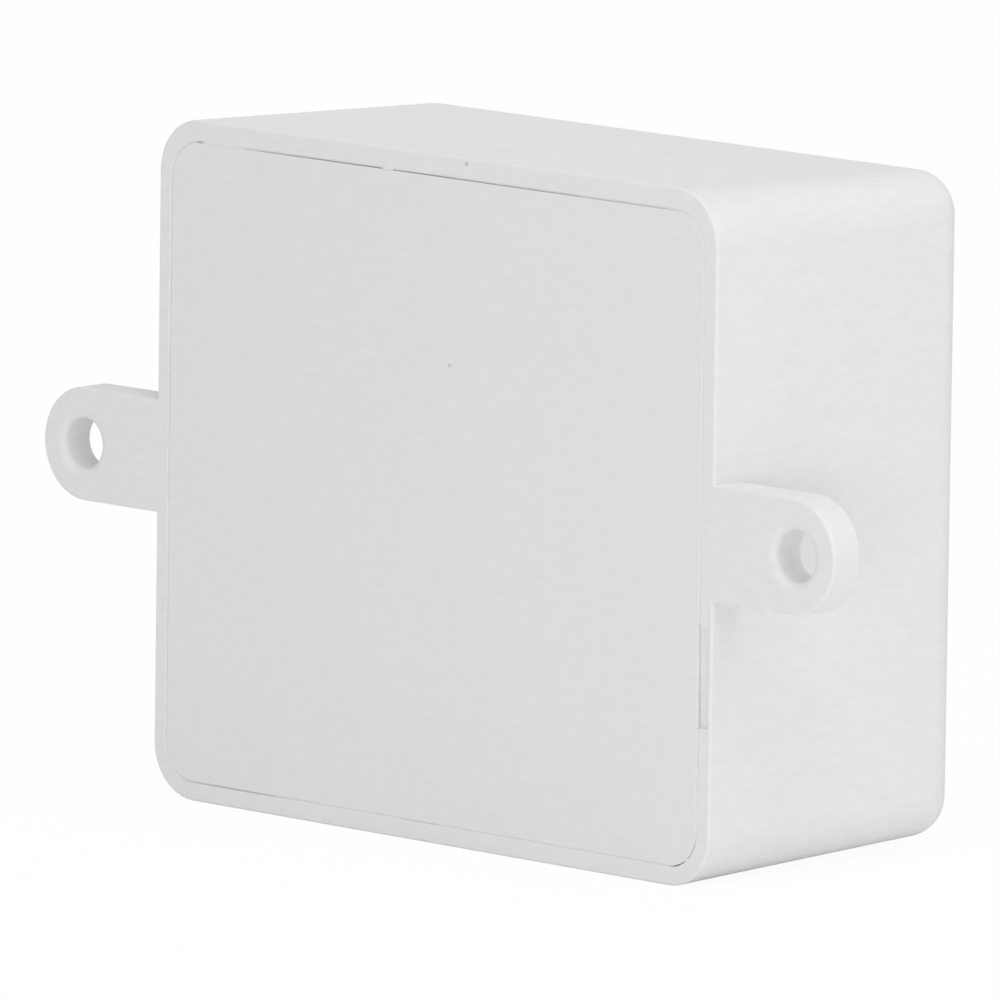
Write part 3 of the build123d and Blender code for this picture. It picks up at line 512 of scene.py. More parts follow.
class Sculpt:
    """One visible piece in the making, in millimetres, shaped with bmesh operators."""

    def __init__(self) -> None:
        """Starts with nothing."""
        self.bm = bmesh.new()

    def turned(self, profile: Path2, place: Point, steps: int = 20, turn: float = 360.0,
               start: float = 0.0) -> None:
        """Turns a profile about an axis that runs along Y.

        Args:
            profile: The (radius, depth) points of the profile, the depth counted from the place.
            place: Where the axis passes, with the depth that the profile starts from.
            steps: How many steps the turn takes.
            turn: How far it turns, in degrees.
            start: The angle that it starts at, in degrees.
        """
        centre = Vector(place)
        out = Matrix.Rotation(math.radians(start), 3, "Y") @ Vector((1.0, 0.0, 0.0))
        spots = [centre + out * radius + Vector((0.0, depth, 0.0)) for radius, depth in profile]
        verts = [self.bm.verts.new(spot) for spot in spots]
        edges = [self.bm.edges.new(pair) for pair in zip(verts, verts[1:])]
        bmesh.ops.spin(
            self.bm, geom=verts + edges, cent=centre, axis=(0.0, 1.0, 0.0),
            angle=math.radians(turn), steps=steps, use_merge=turn > 359.0,
        )

    def block(self, low: Point, high: Point, edge: float) -> None:
        """Adds a block with its edges rounded.

        Args:
            low: The low corner.
            high: The high corner.
            edge: The radius of its edges.
        """
        low, high = Vector(low), Vector(high)
        made = bmesh.ops.create_cube(self.bm, size=1.0)["verts"]
        bmesh.ops.scale(self.bm, verts=made, vec=high - low)
        bmesh.ops.translate(self.bm, verts=made, vec=(low + high) / 2)
        edges = list(dict.fromkeys(e for vert in made for e in vert.link_edges))
        bmesh.ops.bevel(
            self.bm, geom=edges, offset=edge, segments=2, profile=0.5,
            affect="EDGES", material=-1,
        )

    def ribbon(self, path: Path2, width: float, level: float, rise: float) -> None:
        """Lays a flat ribbon with mitred bends along a path across the depth.

        Args:
            path: The (x, z) points of its middle.
            width: Its width.
            level: The depth of the face that it lies on.
            rise: How far it stands off that face, signed along Y.
        """
        up = Vector((0.0, 1.0, 0.0))
        points = [Vector((x, level, z)) for x, z in path]
        legs = [(b - a).normalized() for a, b in zip(points, points[1:])]
        rails = []
        for i, point in enumerate(points):
            before = legs[max(i - 1, 0)]
            after = legs[min(i, len(legs) - 1)]
            across = (before + after).normalized().cross(up)
            reach = width / 2 / max(across.dot(before.cross(up)), 0.3)
            rails.append((point - across * reach, point + across * reach))
        self.strip(rails, rise)

    def strip(self, rails: list[tuple[Vector, Vector]], rise: float) -> None:
        """Draws a strip between two edges, and gives it a thickness along Y.

        Args:
            rails: The points of its left and right edges, in pairs.
            rise: How thick it is, signed along Y.
        """
        pair = [self.bm.verts.new(rail) for rail in rails[0]]
        edge = self.bm.edges.new(pair)
        faces = []
        for left, right in rails[1:]:
            grown = bmesh.ops.extrude_edge_only(self.bm, edges=[edge])["geom"]
            fresh = [item for item in grown if isinstance(item, bmesh.types.BMVert)]
            fresh.sort(key=lambda vert, old=pair[0].co.copy(): (vert.co - old).length)
            fresh[0].co, fresh[1].co = left, right
            pair = fresh
            edge = next(e for e in pair[0].link_edges if e.other_vert(pair[0]) is pair[1])
            faces += [item for item in grown if isinstance(item, bmesh.types.BMFace)]
        raised = bmesh.ops.extrude_face_region(self.bm, geom=faces)["geom"]
        tops = [item for item in raised if isinstance(item, bmesh.types.BMVert)]
        bmesh.ops.translate(self.bm, verts=tops, vec=(0.0, rise, 0.0))

    def outline(self, low: Spot, high: Spot, width: float, level: float, rise: float) -> None:
        """Lays the four sides of a rectangle as ribbons.

        Args:
            low: The low (x, z) corner of the ribbons' middle.
            high: The high one.
            width: The ribbons' width.
            level: The depth of the face that they lie on.
            rise: How far they stand off that face, signed along Y.
        """
        corners = (low, (high[0], low[1]), high, (low[0], high[1]), low)
        for leg in zip(corners, corners[1:]):
            self.ribbon(leg, width, level, rise)

    def frame_on(self, node: str, inset: float, width: float, rise: float) -> None:
        """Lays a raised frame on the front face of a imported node.

        Args:
            node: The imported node.
            inset: How far the frame's middle lies inside the node's outline.
            width: The frame's width.
            rise: How far it stands off the face.
        """
        low, high = box(node)
        self.outline(
            (low.x + inset, low.z + inset), (high.x - inset, high.z - inset), width, high.y, rise,
        )

    def lettering(self, text: str, size: float, place: Point, thickness: float,
                  weight: float) -> None:
        """Adds raised lettering that reads from the front of the module.

        Args:
            text: The characters.
            size: The size of the type.
            place: The middle of the foot of the text.
            thickness: How far it stands off the face.
            weight: How much bolder than plain its strokes are.
        """
        curve = bpy.data.curves.new("lettering", "FONT")
        curve.body = text
        curve.size = size
        curve.align_x = "CENTER"
        curve.extrude = thickness / 2
        curve.offset = weight
        curve.resolution_u = 6
        holder = bpy.data.objects.new("lettering", curve)
        flat = bpy.data.meshes.new_from_object(holder)
        turn = Matrix.Rotation(math.pi, 4, "Y") @ Matrix.Rotation(-math.pi / 2, 4, "X")
        shift = Matrix.Translation(Vector(place) + Vector((0.0, thickness / 2, 0.0)))
        flat.transform(shift @ turn)
        self.bm.from_mesh(flat)
        bpy.data.meshes.remove(flat)
        bpy.data.objects.remove(holder)
        bpy.data.curves.remove(curve)

    def done(self, name: str, finish: Finish, slot: str, body: str = ROOT,
             sharp: float = 35.0) -> bpy.types.Object:
        """Turns the piece into an object that rides on a body.

        Args:
            name: The piece's name.
            finish: Its finish.
            slot: The record's material slot that it would follow; not used.
            body: The body that it rides on.
            sharp: The angle, in degrees, above which an edge stays sharp.

        Returns:
            The finished object, at the origin.
        """
        bmesh.ops.remove_doubles(self.bm, verts=self.bm.verts, dist=WELD_DISTANCE)
        bmesh.ops.recalc_face_normals(self.bm, faces=self.bm.faces)
        bmesh.ops.scale(self.bm, verts=self.bm.verts, vec=(MM, MM, MM))
        mesh = bpy.data.meshes.new(name)
        self.bm.to_mesh(mesh)
        self.bm.free()
        for polygon in mesh.polygons:
            polygon.use_smooth = True
        mesh.set_sharp_from_angle(angle=math.radians(sharp))
        mesh.materials.append(finish.material())
        piece = bpy.data.objects.new(name, mesh)
        bpy.context.scene.collection.objects.link(piece)
        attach(piece, body)
        log.info("made %s on %s: %d faces", name, body, len(mesh.polygons))
        return piece


def node_slots() -> dict[str, str]:
    """The record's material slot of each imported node."""
    return {part["node"]: part["material_slot"] for part in frame["record"]["subparts"]}


def dress_nodes() -> None:
    """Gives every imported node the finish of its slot."""
    for name, slot in node_slots().items():
        mesh = frame["nodes"][name].data
        mesh.materials.clear()
        mesh.materials.append(SLOT_FINISHES[slot].material())


class SmallKind(Enum):
    """The kinds of small surface part, each with its length, width, height and end length."""

    RESISTOR = (1.6, 0.85, 0.50, 0.30)
    CAPACITOR = (1.6, 0.85, 0.85, 0.35)
    DIODE = (2.7, 1.6, 1.1, 0.45)


@dataclass(frozen=True)
class SmallPart:
    """A small surface part, at (x, z) on the board and lying along X or along Z."""

    kind: SmallKind
    x: float
    z: float
    upright: bool = False

    def spot(self, along: float, across: float) -> Spot:
        """The (x, z) of a point along the part and across it."""
        return (self.x + across, self.z + along) if self.upright else (self.x + along, self.z + across)

    def block(self, target: Sculpt, along: Spot, half: float, depth: Spot, edge: float) -> None:
        """Adds one block of the part.

        Args:
            target: The piece that the block goes into.
            along: Where it starts and ends along the part.
            half: Half its width across the part.
            depth: The depths of its rear and front faces.
            edge: The radius of its edges.
        """
        (left, low), (right, high) = self.spot(along[0], -half), self.spot(along[1], half)
        target.block((left, depth[0], low), (right, depth[1], high), edge)


@dataclass
class SolderSide:
    """What lies on the board's rear face: joints, pads, tracks, small parts and print."""

    copper: float = 0.05
    ink: float = 0.02
    joint: float = 0.86
    cone: Path2 = (
        (1.0, 0.0), (0.80, -0.12), (0.58, -0.36), (0.46, -0.68), (0.40, -0.96), (0.26, -1.03),
        (0.0, -1.05),
    )
    leads: tuple[tuple[str, float], ...] = (
        ("film_capacitor", 0.95), ("fuse", 0.95), ("varistor", 0.95),
        ("input_capacitor", 0.85), ("output_capacitor", 0.85), ("transformer_bobbin", 0.80),
        ("switch_body", 0.80), ("status_led", 0.80), ("relay_pins", 1.05),
        ("relay_closing_contact", 1.05), ("relay_resting_contact", 1.05),
        ("terminal_contact_bars", 1.45),
    )
    tracks: tuple[tuple[float, Path2], ...] = (
        (2.2, ((9.53, -13.35), (9.53, -11.2), (9.3, -8.94))),
        (1.6, ((9.3, -3.86), (10.6, -4.4), (13.6, -4.6))),
        (1.6, ((9.3, -3.86), (9.3, -1.7), (7.7, -0.1), (4.2, -0.1))),
        (2.0, ((15.87, -13.35), (15.87, -11.6), (13.6, -9.6))),
        (2.0, ((3.18, -13.35), (3.18, -10.6), (4.2, -9.1))),
        (0.7, ((4.2, -0.1), (2.98, -1.1), (2.98, -2.4))),
        (0.7, ((4.2, -9.1), (5.43, -8.2), (5.43, -6.8))),
        (0.6, ((2.98, -6.8), (1.1, -7.1), (0.3, -6.3), (0.3, 1.0), (-3.9, 5.2), (-3.9, 6.7))),
        (0.5, ((5.43, -2.4), (6.4, -2.4), (7.0, -3.0))),
        (2.4, ((-7.3, -4.25), (-7.3, -8.4), (-9.53, -10.6), (-9.53, -13.35))),
        (1.9, ((-2.1, -4.25), (-2.1, -10.9), (-3.18, -12.0), (-3.18, -13.35))),
        (2.4, ((-15.87, -13.35), (-15.87, -15.6), (-13.9, -17.6), (14.2, -17.6))),
        (0.6, ((-16.1, 0.75), (-13.9, 0.75), (-12.9, -0.25), (-12.9, -2.4))),
        (0.6, ((-16.1, -9.25), (-19.3, -6.0), (-19.3, 0.6), (-21.2, 2.5), (-21.2, 4.02))),
        (0.5, ((-15.2, 4.02), (-14.86, 4.5), (-14.86, 5.6))),
        (0.5, ((-18.2, 4.02), (-18.54, 4.5), (-18.54, 5.6))),
        (0.4, ((-17.31, 5.6), (-17.31, 3.0), (-16.4, 2.1))),
        (0.9, ((-12.2, 4.02), (-10.6, 4.02), (-7.9, 6.7))),
        (1.0, ((-18.2, 12.18), (-18.2, 13.6), (-17.67, 14.2), (-17.67, 17.25))),
        (1.0, ((-15.2, 12.18), (-14.52, 13.2), (-14.52, 17.25))),
        (0.8, ((-12.2, 12.18), (-12.2, 14.6), (-10.0, 16.8), (-2.4, 16.8))),
        (0.9, ((-14.52, 17.25), (-13.0, 18.8), (4.6, 18.8), (5.6, 17.8))),
        (0.35, ((3.7, 7.7), (3.7, 9.9), (5.4, 11.6), (7.0, 11.6))),
        (0.35, ((9.57, 5.7), (12.0, 5.7))),
        (0.35, ((13.6, 5.7), (15.4, 5.7), (16.8, 7.1), (16.8, 12.0))),
        (0.35, ((7.03, 5.7), (7.03, 8.0), (8.6, 9.6), (8.6, 13.0))),
        (0.30, ((10.4, 13.2), (10.4, 9.4), (11.6, 8.2), (18.4, 8.2), (19.4, 9.2), (19.4, 14.2))),
        (0.30, ((11.1, 13.2), (11.1, 10.0), (12.2, 8.9), (17.2, 8.9), (18.0, 9.7), (18.0, 14.2))),
        (0.30, ((-10.9, -1.2), (-10.9, 0.6), (-8.2, 3.3), (-1.6, 3.3))),
    )
    vias: Path2 = (
        (7.0, -3.0), (-16.4, 2.1), (-2.4, 16.8), (5.6, 17.8), (7.0, 11.6), (16.8, 12.0), (8.6, 13.0),
        (10.4, 13.2), (11.1, 13.2), (-10.9, -1.2), (-10.2, 9.4), (-9.4, 10.2), (12.6, 17.8),
        (1.2, 13.2), (-5.6, 11.6), (-20.9, 15.4),
    )
    parts: tuple[SmallPart, ...] = (
        SmallPart(SmallKind.RESISTOR, 12.8, 5.7),
        SmallPart(SmallKind.RESISTOR, 0.6, 11.2, True),
        SmallPart(SmallKind.RESISTOR, 2.2, 11.2, True),
        SmallPart(SmallKind.CAPACITOR, -1.2, 11.2, True),
        SmallPart(SmallKind.CAPACITOR, -3.2, 11.6, True),
        SmallPart(SmallKind.CAPACITOR, 14.0, 11.4),
        SmallPart(SmallKind.CAPACITOR, 14.0, 13.2),
        SmallPart(SmallKind.RESISTOR, 14.0, 15.0),
        SmallPart(SmallKind.RESISTOR, 14.0, 16.6),
        SmallPart(SmallKind.DIODE, -11.9, 1.5),
        SmallPart(SmallKind.DIODE, -9.4, 14.0),
        SmallPart(SmallKind.RESISTOR, -21.6, 8.2, True),
        SmallPart(SmallKind.CAPACITOR, -11.4, 8.4, True),
        SmallPart(SmallKind.RESISTOR, -12.9, -3.4, True),
        SmallPart(SmallKind.RESISTOR, 16.4, 1.2),
        SmallPart(SmallKind.CAPACITOR, 12.6, 1.2),
    )
    chips: tuple[tuple[str, int], ...] = (("converter_chip", 4), ("bridge_rectifier", 2))
    pad: float = 0.7
    pad_reach: Spot = (0.9, 0.35)
    toe: tuple[float, float, float] = (0.24, 0.16, 0.05)
    toe_shift: float = 0.10
    pad_rise: float = 1.2
    pad_ring: float = 0.14
    round_steps: int = 18
    via: Path2 = ((0.42, 0.0), (0.40, -0.07), (0.20, -0.07), (0.16, 0.0))
    via_steps: int = 14
    fillet: tuple[float, float, float] = (0.32, 0.08, 0.30)
    print_line: float = 0.12
    print_room: Spot = (0.55, 0.3)
    dot: float = 0.28
    dot_inset: float = 0.6

    def level(self) -> float:
        """The depth of the board's rear face."""
        return box("circuit_board")[0].y

    def joints(self) -> None:
        """Makes the solder cone at every lead, and the ring of tinned pad that shows round it."""
        cones, pads = Sculpt(), Sculpt()
        for node, radius in self.leads:
            cone = tuple((share * radius, depth * self.joint) for share, depth in self.cone)
            rim, rise = radius + self.pad_ring, -self.pad_rise * self.copper
            ring = ((rim, 0.0), (rim, rise), (0.7 * radius, rise))
            for x, z in lead_tips(node):
                cones.turned(cone, (x, self.level(), z), steps=self.round_steps)
                pads.turned(ring, (x, self.level(), z), steps=self.round_steps)
        cones.done("solder_joints", SOLDER, "tinned", sharp=60.0)
        pads.done("tinned_pads", TINNED, "tinned")

    def lay_tracks(self) -> None:
        """Lays the tracks, the vias and the pads under the chips' feet."""
        tracks, rings, pads = Sculpt(), Sculpt(), Sculpt()
        for width, path in self.tracks:
            tracks.ribbon(path, width, self.level(), -self.copper)
        for x, z in self.vias:
            rings.turned(self.via, (x, self.level(), z), steps=self.via_steps)
        inward, outward = self.pad_reach
        half, thick, depth = self.toe
        for node, count in self.chips:
            low, high = box(node)
            for i in range(count):
                x = low.x + (high.x - low.x) * (i + 0.5) / count
                for z, way in ((low.z, -1.0), (high.z, 1.0)):
                    foot = ((x, z - way * inward), (x, z + way * outward))
                    pads.ribbon(foot, self.pad, self.level(), -self.pad_rise * self.copper)
                    near, far = z - depth + way * self.toe_shift, z + depth + way * self.toe_shift
                    pads.block(
                        (x - half, self.level() - thick, near), (x + half, self.level(), far), edge=0.04,
                    )
        tracks.done("copper_tracks", TRACK, "board")
        rings.done("plated_vias", GOLD, "tinned")
        pads.done("chip_pads", SOLDER, "tinned")

    def small_parts(self) -> None:
        """Mounts the small parts, with their tinned ends and solder fillets."""
        bodies = {kind: Sculpt() for kind in SmallKind}
        ends, fillets = Sculpt(), Sculpt()
        foot = self.level()
        reach, flare, share = self.fillet
        for part in self.parts:
            length, width, height, end = part.kind.value
            long, side = length / 2, width / 2
            part.block(
                bodies[part.kind], (-long + end, long - end), side - 0.02,
                (foot - height, foot - 0.08), edge=0.05,
            )
            for way in (-1.0, 1.0):
                cap = sorted((way * (long - end), way * long))
                part.block(ends, cap, side, (foot - height - 0.01, foot - 0.05), edge=0.05)
                solder = sorted((way * (long - 0.05), way * (long + reach)))
                part.block(fillets, solder, side + flare, (foot - share * height, foot), edge=0.12)
        bodies[SmallKind.RESISTOR].done("small_resistors", CHIP, "chip")
        bodies[SmallKind.CAPACITOR].done("small_capacitors", CERAMIC, "chip")
        bodies[SmallKind.DIODE].done("small_diodes", CHIP, "chip")
        ends.done("small_part_ends", TINNED, "tinned")
        fillets.done("small_part_solder", SOLDER, "tinned")

    def print_marks(self) -> None:
        """Prints an outline round every small part, and a dot at every chip's first foot."""
        ink = Sculpt()
        for part in self.parts:
            length, width, _, _ = part.kind.value
            along, across = length / 2 + self.print_room[0], width / 2 + self.print_room[1]
            ink.outline(
                part.spot(-along, -across), part.spot(along, across), self.print_line, self.level(),
                -self.ink,
            )
        for node, _ in self.chips:
            low = box(node)[0]
            ink.turned(
                ((self.dot, 0.0), (self.dot, -self.ink), (0.0, -self.ink)),
                (low.x - self.dot_inset, self.level(), low.z + self.dot_inset), steps=self.via_steps,
            )
        ink.done("board_print", PRINT, "board")

    def build(self) -> None:
        """Makes everything on the rear face."""
        self.joints()
        self.lay_tracks()
        self.small_parts()
        self.print_marks()


@dataclass
class PowerRelay:
    """The moulded detail of the relay's case."""

    inset: float = 1.1
    frame_width: float = 0.5
    frame_rise: float = 0.08
    nib: Path2 = ((0.9, 0.0), (0.9, 0.18), (0.75, 0.3), (0.35, 0.3), (0.25, 0.12), (0.0, 0.12))
    nib_inset: float = 3.0

    def build(self) -> None:
        """Adds the raised frame and the vent nib of the case."""
        high = box("relay_cover")[1]
        case = Sculpt()
        case.frame_on("relay_cover", self.inset, self.frame_width, self.frame_rise)
        case.turned(self.nib, (high.x - self.nib_inset, high.y, high.z - self.nib_inset), steps=24)
        case.done("relay_case_frame", RELAY_CASE, "relay_case")


@dataclass
class Supply:
    """The detail of the supply's wound and canned parts."""

    can_steps: int = 48
    stripe_turn: float = 46.0
    stripe_start: float = 200.0
    stripe_steps: int = 10
    stripe_foot: float = 0.7
    vent_width: float = 0.32
    vent_rise: float = 0.115
    vent_reach: float = 0.42
    lid: Path2 = ((0.82, 0.0), (0.81, 0.06), (0.78, 0.08), (0.0, 0.10))
    laps: tuple[Spot, ...] = ((0.5, 0.05), (1.6, 0.10))
    lap_inset: float = 0.25
    lap_depth: float = 0.3
    tape_edge: float = 0.04
    loose_end: tuple[Point, Point] = ((2.2, 0.6, 0.0), (4.6, -1.0, 0.16))
    box_inset: float = 0.5
    box_line: Spot = (0.3, 0.06)

    def dress_can(self, node: str, name: str) -> None:
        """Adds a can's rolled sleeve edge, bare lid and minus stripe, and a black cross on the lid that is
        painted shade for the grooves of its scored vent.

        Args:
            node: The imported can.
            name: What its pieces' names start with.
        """
        low, high = box(node)
        radius = (high.x - low.x) / 2
        x, z = (low.x + high.x) / 2, (low.z + high.z) / 2
        foot = box("circuit_board")[1].y + self.stripe_foot
        edge, lid, vent_shade, stripe = Sculpt(), Sculpt(), Sculpt(), Sculpt()
        edge.turned(
            ((0.80 * radius, 0.0), (0.82 * radius, 0.14), (0.88 * radius, 0.18),
             (0.95 * radius, 0.10), (0.985 * radius, -0.08), (radius + 0.01, -0.35), (radius, -0.45)),
            (x, high.y, z), steps=self.can_steps,
        )
        profile = tuple((share * radius, depth) for share, depth in self.lid)
        lid.turned(profile, (x, high.y, z), steps=self.can_steps)
        # The vent is drawn as a black cross standing just proud of the lid: painted shade for its scored
        # grooves, not a cut.
        reach = self.vent_reach * radius
        for way in (-1.0, 1.0):
            path = ((x - reach, z - way * reach), (x + reach, z + way * reach))
            vent_shade.ribbon(path, self.vent_width, high.y, self.vent_rise)
        stripe.turned(
            ((radius + 0.02, foot - high.y), (radius + 0.03, -0.42), (radius - 0.1, -0.42)),
            (x, high.y, z), self.stripe_steps, self.stripe_turn, self.stripe_start,
        )
        edge.done(f"{name}_sleeve_edge", SLEEVE, "can_sleeve")
        lid.done(f"{name}_lid", ALUMINIUM, "tinned")
        # The vent piece is the black cross of painted shade for the vent's grooves.
        vent_shade.done(f"{name}_vent", CHIP, "can_sleeve")
        stripe.done(f"{name}_stripe", STRIPE, "can_sleeve")

    def wrap_transformer(self) -> None:
        """Adds the tape's laps on both sides of the winding, and its loose end."""
        low, high = box("transformer_winding")
        tape = Sculpt()
        for z, way in ((low.z, -1.0), (high.z, 1.0)):
            for inset, rise in self.laps:
                near, far = sorted((z - way * self.lap_depth, z + way * rise))
                tape.block(
                    (low.x + inset, low.y + self.lap_inset, near),
                    (high.x - inset, high.y - self.lap_inset, far), self.tape_edge,
                )
        start, end = self.loose_end
        tape.block(
            (low.x + start[0], low.y + start[1], high.z + start[2]),
            (low.x + end[0], high.y + end[1], high.z + end[2]), self.tape_edge,
        )
        tape.done("transformer_tape_laps", TAPE, "tape")

    def frame_boxes(self) -> None:
        """Adds the moulded edges on the tops of the box capacitor and the fuse."""
        for node, finish, slot in (
            ("film_capacitor", FILM_CASE, "film_case"), ("fuse", FUSE_CASE, "fuse_case"),
        ):
            lip = Sculpt()
            lip.frame_on(node, self.box_inset, *self.box_line)
            lip.done(f"{node}_top_edge", finish, slot)

    def build(self) -> None:
        """Dresses the supply's parts."""
        self.dress_can("input_capacitor", "input_can")
        self.dress_can("output_capacitor", "output_can")
        self.wrap_transformer()
        self.frame_boxes()


@dataclass
class RadioSection:
    """The radio board's printed aerial, edge pads and shield stamping."""

    trace: float = 0.42
    step: float = 1.4
    rows: int = 6
    first_row: float = 0.9
    lead_in: float = 0.5
    shield_room: float = 1.6
    edge_room: float = 0.7
    rise: float = 0.04
    pad_count: int = 8
    pad_pitch: float = 1.27
    pad_start: float = 1.4
    pad_half: float = 0.32
    pad_reach: Spot = (0.04, 0.75)
    stamp: tuple[float, float, float] = (1.2, 0.4, 0.08)

    def build(self) -> None:
        """Lays the aerial, the edge pads and the stamped frame of the shield."""
        low, high = box("radio_board")
        shield = box("radio_shield")[1].x
        aerial, pads, stamp = Sculpt(), Sculpt(), Sculpt()
        inner, outer = shield + self.shield_room, high.x - self.edge_room
        z = low.z + self.first_row
        path = [(shield + self.lead_in, z), (outer, z)]
        for row in range(1, self.rows + 1):
            near, far = (outer, inner) if row % 2 else (inner, outer)
            path += [(near, z + row * self.step), (far, z + row * self.step)]
        aerial.ribbon(tuple(path), self.trace, high.y, self.rise)
        past, reach = self.pad_reach
        for i in range(self.pad_count):
            x = low.x + self.pad_start + i * self.pad_pitch
            for near, far in ((low.z - past, low.z + reach), (high.z - reach, high.z + past)):
                pads.block(
                    (x - self.pad_half, low.y + 0.02, near), (x + self.pad_half, high.y + 0.05, far), 0.04,
                )
        stamp.frame_on("radio_shield", *self.stamp)
        aerial.done("printed_aerial", GOLD, "tinned")
        pads.done("radio_edge_pads", GOLD, "tinned")
        stamp.done("shield_stamping", TINNED, "tinned")


Station = tuple[float, float, float]


@dataclass
class RimFlash:
    """The thin moulded fin on the rim's inner wall, which nearly closes the cover's gap.

    The rim's wall stands off the cover's edge by a gap that is wider above than below. The slit
    that the fin leaves, and the depth of the fin's face, vary round the cover as a moulded
    edge's do. Each side gives its (share of the way, slit, depth), and each bend those of the
    corner after it, clockwise from the upper left as the rear shows it.
    """

    corner_radius: float = 2.5
    gap: float = 0.09
    sag: float = 0.03
    root: float = 0.045
    thickness: float = 0.5
    arc_steps: int = 8
    top: tuple[Station, ...] = (
        (0.0, 0.010, 0.07), (0.02, -0.015, 0.02), (0.08, -0.015, 0.02), (0.10, 0.010, 0.08),
        (0.14, 0.018, 0.11), (0.19, 0.030, 0.11), (0.28, 0.038, 0.11), (0.36, 0.044, 0.11),
        (0.387, 0.044, 0.11), (0.389, -0.015, 0.02), (0.410, -0.015, 0.02), (0.412, 0.038, 0.11),
        (0.50, 0.045, 0.11), (0.57, 0.037, 0.11), (0.60, 0.034, 0.11), (0.76, 0.028, 0.11),
        (0.80, 0.021, 0.11), (0.93, 0.014, 0.11), (0.975, 0.012, 0.11), (1.0, 0.005, 0.06),
    )
    top_bend: tuple[Station, ...] = ()
    right: tuple[Station, ...] = (
        (0.0, 0.003, 0.04), (0.638, 0.003, 0.04), (0.642, 0.011, 0.15), (0.817, 0.018, 0.30),
        (0.821, 0.003, 0.04), (0.868, 0.003, 0.04), (0.877, 0.020, 0.10), (0.886, 0.003, 0.04),
        (1.0, 0.003, 0.04),
    )
    right_bend: tuple[Station, ...] = (
        (0.06, 0.003, 0.04), (0.20, 0.016, 0.11), (0.50, 0.032, 0.11), (0.52, -0.015, 0.02),
        (0.59, -0.015, 0.02), (0.61, 0.050, 0.11), (0.84, 0.055, 0.11), (0.93, 0.015, 0.09),
    )
    bottom: tuple[Station, ...] = (
        (0.0, 0.003, 0.04), (0.01, -0.015, 0.02), (0.46, -0.015, 0.02), (0.48, 0.003, 0.04),
        (0.54, 0.003, 0.04), (0.56, -0.015, 0.02), (0.79, -0.015, 0.02), (0.83, 0.014, 0.09),
        (0.86, 0.020, 0.11), (0.92, 0.026, 0.11), (0.97, 0.018, 0.11), (1.0, 0.012, 0.09),
    )
    bottom_bend: tuple[Station, ...] = ()
    left: tuple[Station, ...] = (
        (0.0, -0.015, 0.02), (0.33, -0.015, 0.02), (0.40, 0.010, 0.07), (0.43, 0.020, 0.09),
        (0.60, 0.020, 0.10), (0.62, 0.023, 0.11), (0.69, 0.023, 0.11), (0.71, 0.008, 0.06),
        (0.76, -0.004, 0.03), (0.90, -0.002, 0.03), (1.0, 0.006, 0.05),
    )
    left_bend: tuple[Station, ...] = ((0.5, 0.014, 0.09),)

    @staticmethod
    def between(stations: tuple[Station, ...], share: float) -> tuple[float, float]:
        """Reads the slit and the depth between two stations.

        Args:
            stations: The stations, in order.
            share: How far along the way, from zero to one.

        Returns:
            The slit and the depth there.
        """
        for (start, *first), (end, *second) in zip(stations, stations[1:]):
            if share <= end:
                part = (share - start) / (end - start)
                return tuple(a + (b - a) * part for a, b in zip(first, second))
        return stations[-1][1:]

    def stations(self) -> list[tuple[Vector, Vector, float, float]]:
        """Walks round the cover from its upper left corner.

        Returns:
            At each step the centre that the outline is drawn from, the way out, the slit and the
            depth.
        """
        low, high = box("rear_cover")
        left, right = low.x + self.corner_radius, high.x - self.corner_radius
        bottom, top = low.z + self.corner_radius, high.z - self.corner_radius
        corners = ((left, top), (right, top), (right, bottom), (left, bottom))
        sides = (self.top, self.right, self.bottom, self.left)
        bends = (self.top_bend, self.right_bend, self.bottom_bend, self.left_bend)
        steps = {step / self.arc_steps for step in range(1, self.arc_steps)}
        walk = []
        for i, (side, bend) in enumerate(zip(sides, bends)):
            start, end = Vector(corners[i]), Vector(corners[(i + 1) % 4])
            angle = math.pi / 2 * (1 - i)
            out = Vector((math.cos(angle), math.sin(angle)))
            walk += [(start.lerp(end, share), out, slit, depth) for share, slit, depth in side]
            whole = ((0.0, *side[-1][1:]), *bend, (1.0, *sides[(i + 1) % 4][0][1:]))
            for share in sorted(steps | {station[0] for station in bend}):
                turned = angle - share * math.pi / 2
                out = Vector((math.cos(turned), math.sin(turned)))
                walk.append((end, out, *self.between(whole, share)))
        return walk + walk[:1]

    def build(self) -> None:
        """Grows the fin from the rim's wall towards the cover."""
        rails = []
        for centre, out, slit, depth in self.stations():
            inner = centre + out * (self.corner_radius + slit)
            outer = centre + out * (self.corner_radius + self.gap + self.root)
            outer.y += self.sag
            rails.append(tuple(Vector((x, depth, z)) for x, z in (outer, inner)))
        fin = Sculpt()
        fin.strip(rails, self.thickness)
        fin.done("rim_flash", SHELL, "shell")


@dataclass
class CoverInside:
    """The ejector marks on the cover's inner face, which shows when the cover is off."""

    face: float = 1.6
    spots: Path2 = (
        (-15.5, 12.0), (0.0, 12.0), (15.5, 12.0), (-15.5, -12.0), (0.0, -12.0), (15.5, -12.0),
    )
    radius: float = 1.6
    line: float = 0.12
    rise: float = 0.12

    def build(self) -> None:
        """Raises a fine ring at each ejector's place."""
        inner, outer = self.radius - self.line, self.radius + self.line
        ring = ((outer, 0.0), (outer, self.rise), (inner, self.rise), (inner, 0.0))
        marks = Sculpt()
        for x, z in self.spots:
            marks.turned(ring, (x, self.face, z), steps=28)
        marks.done("cover_ejector_marks", COVER, "cover", body="cover")


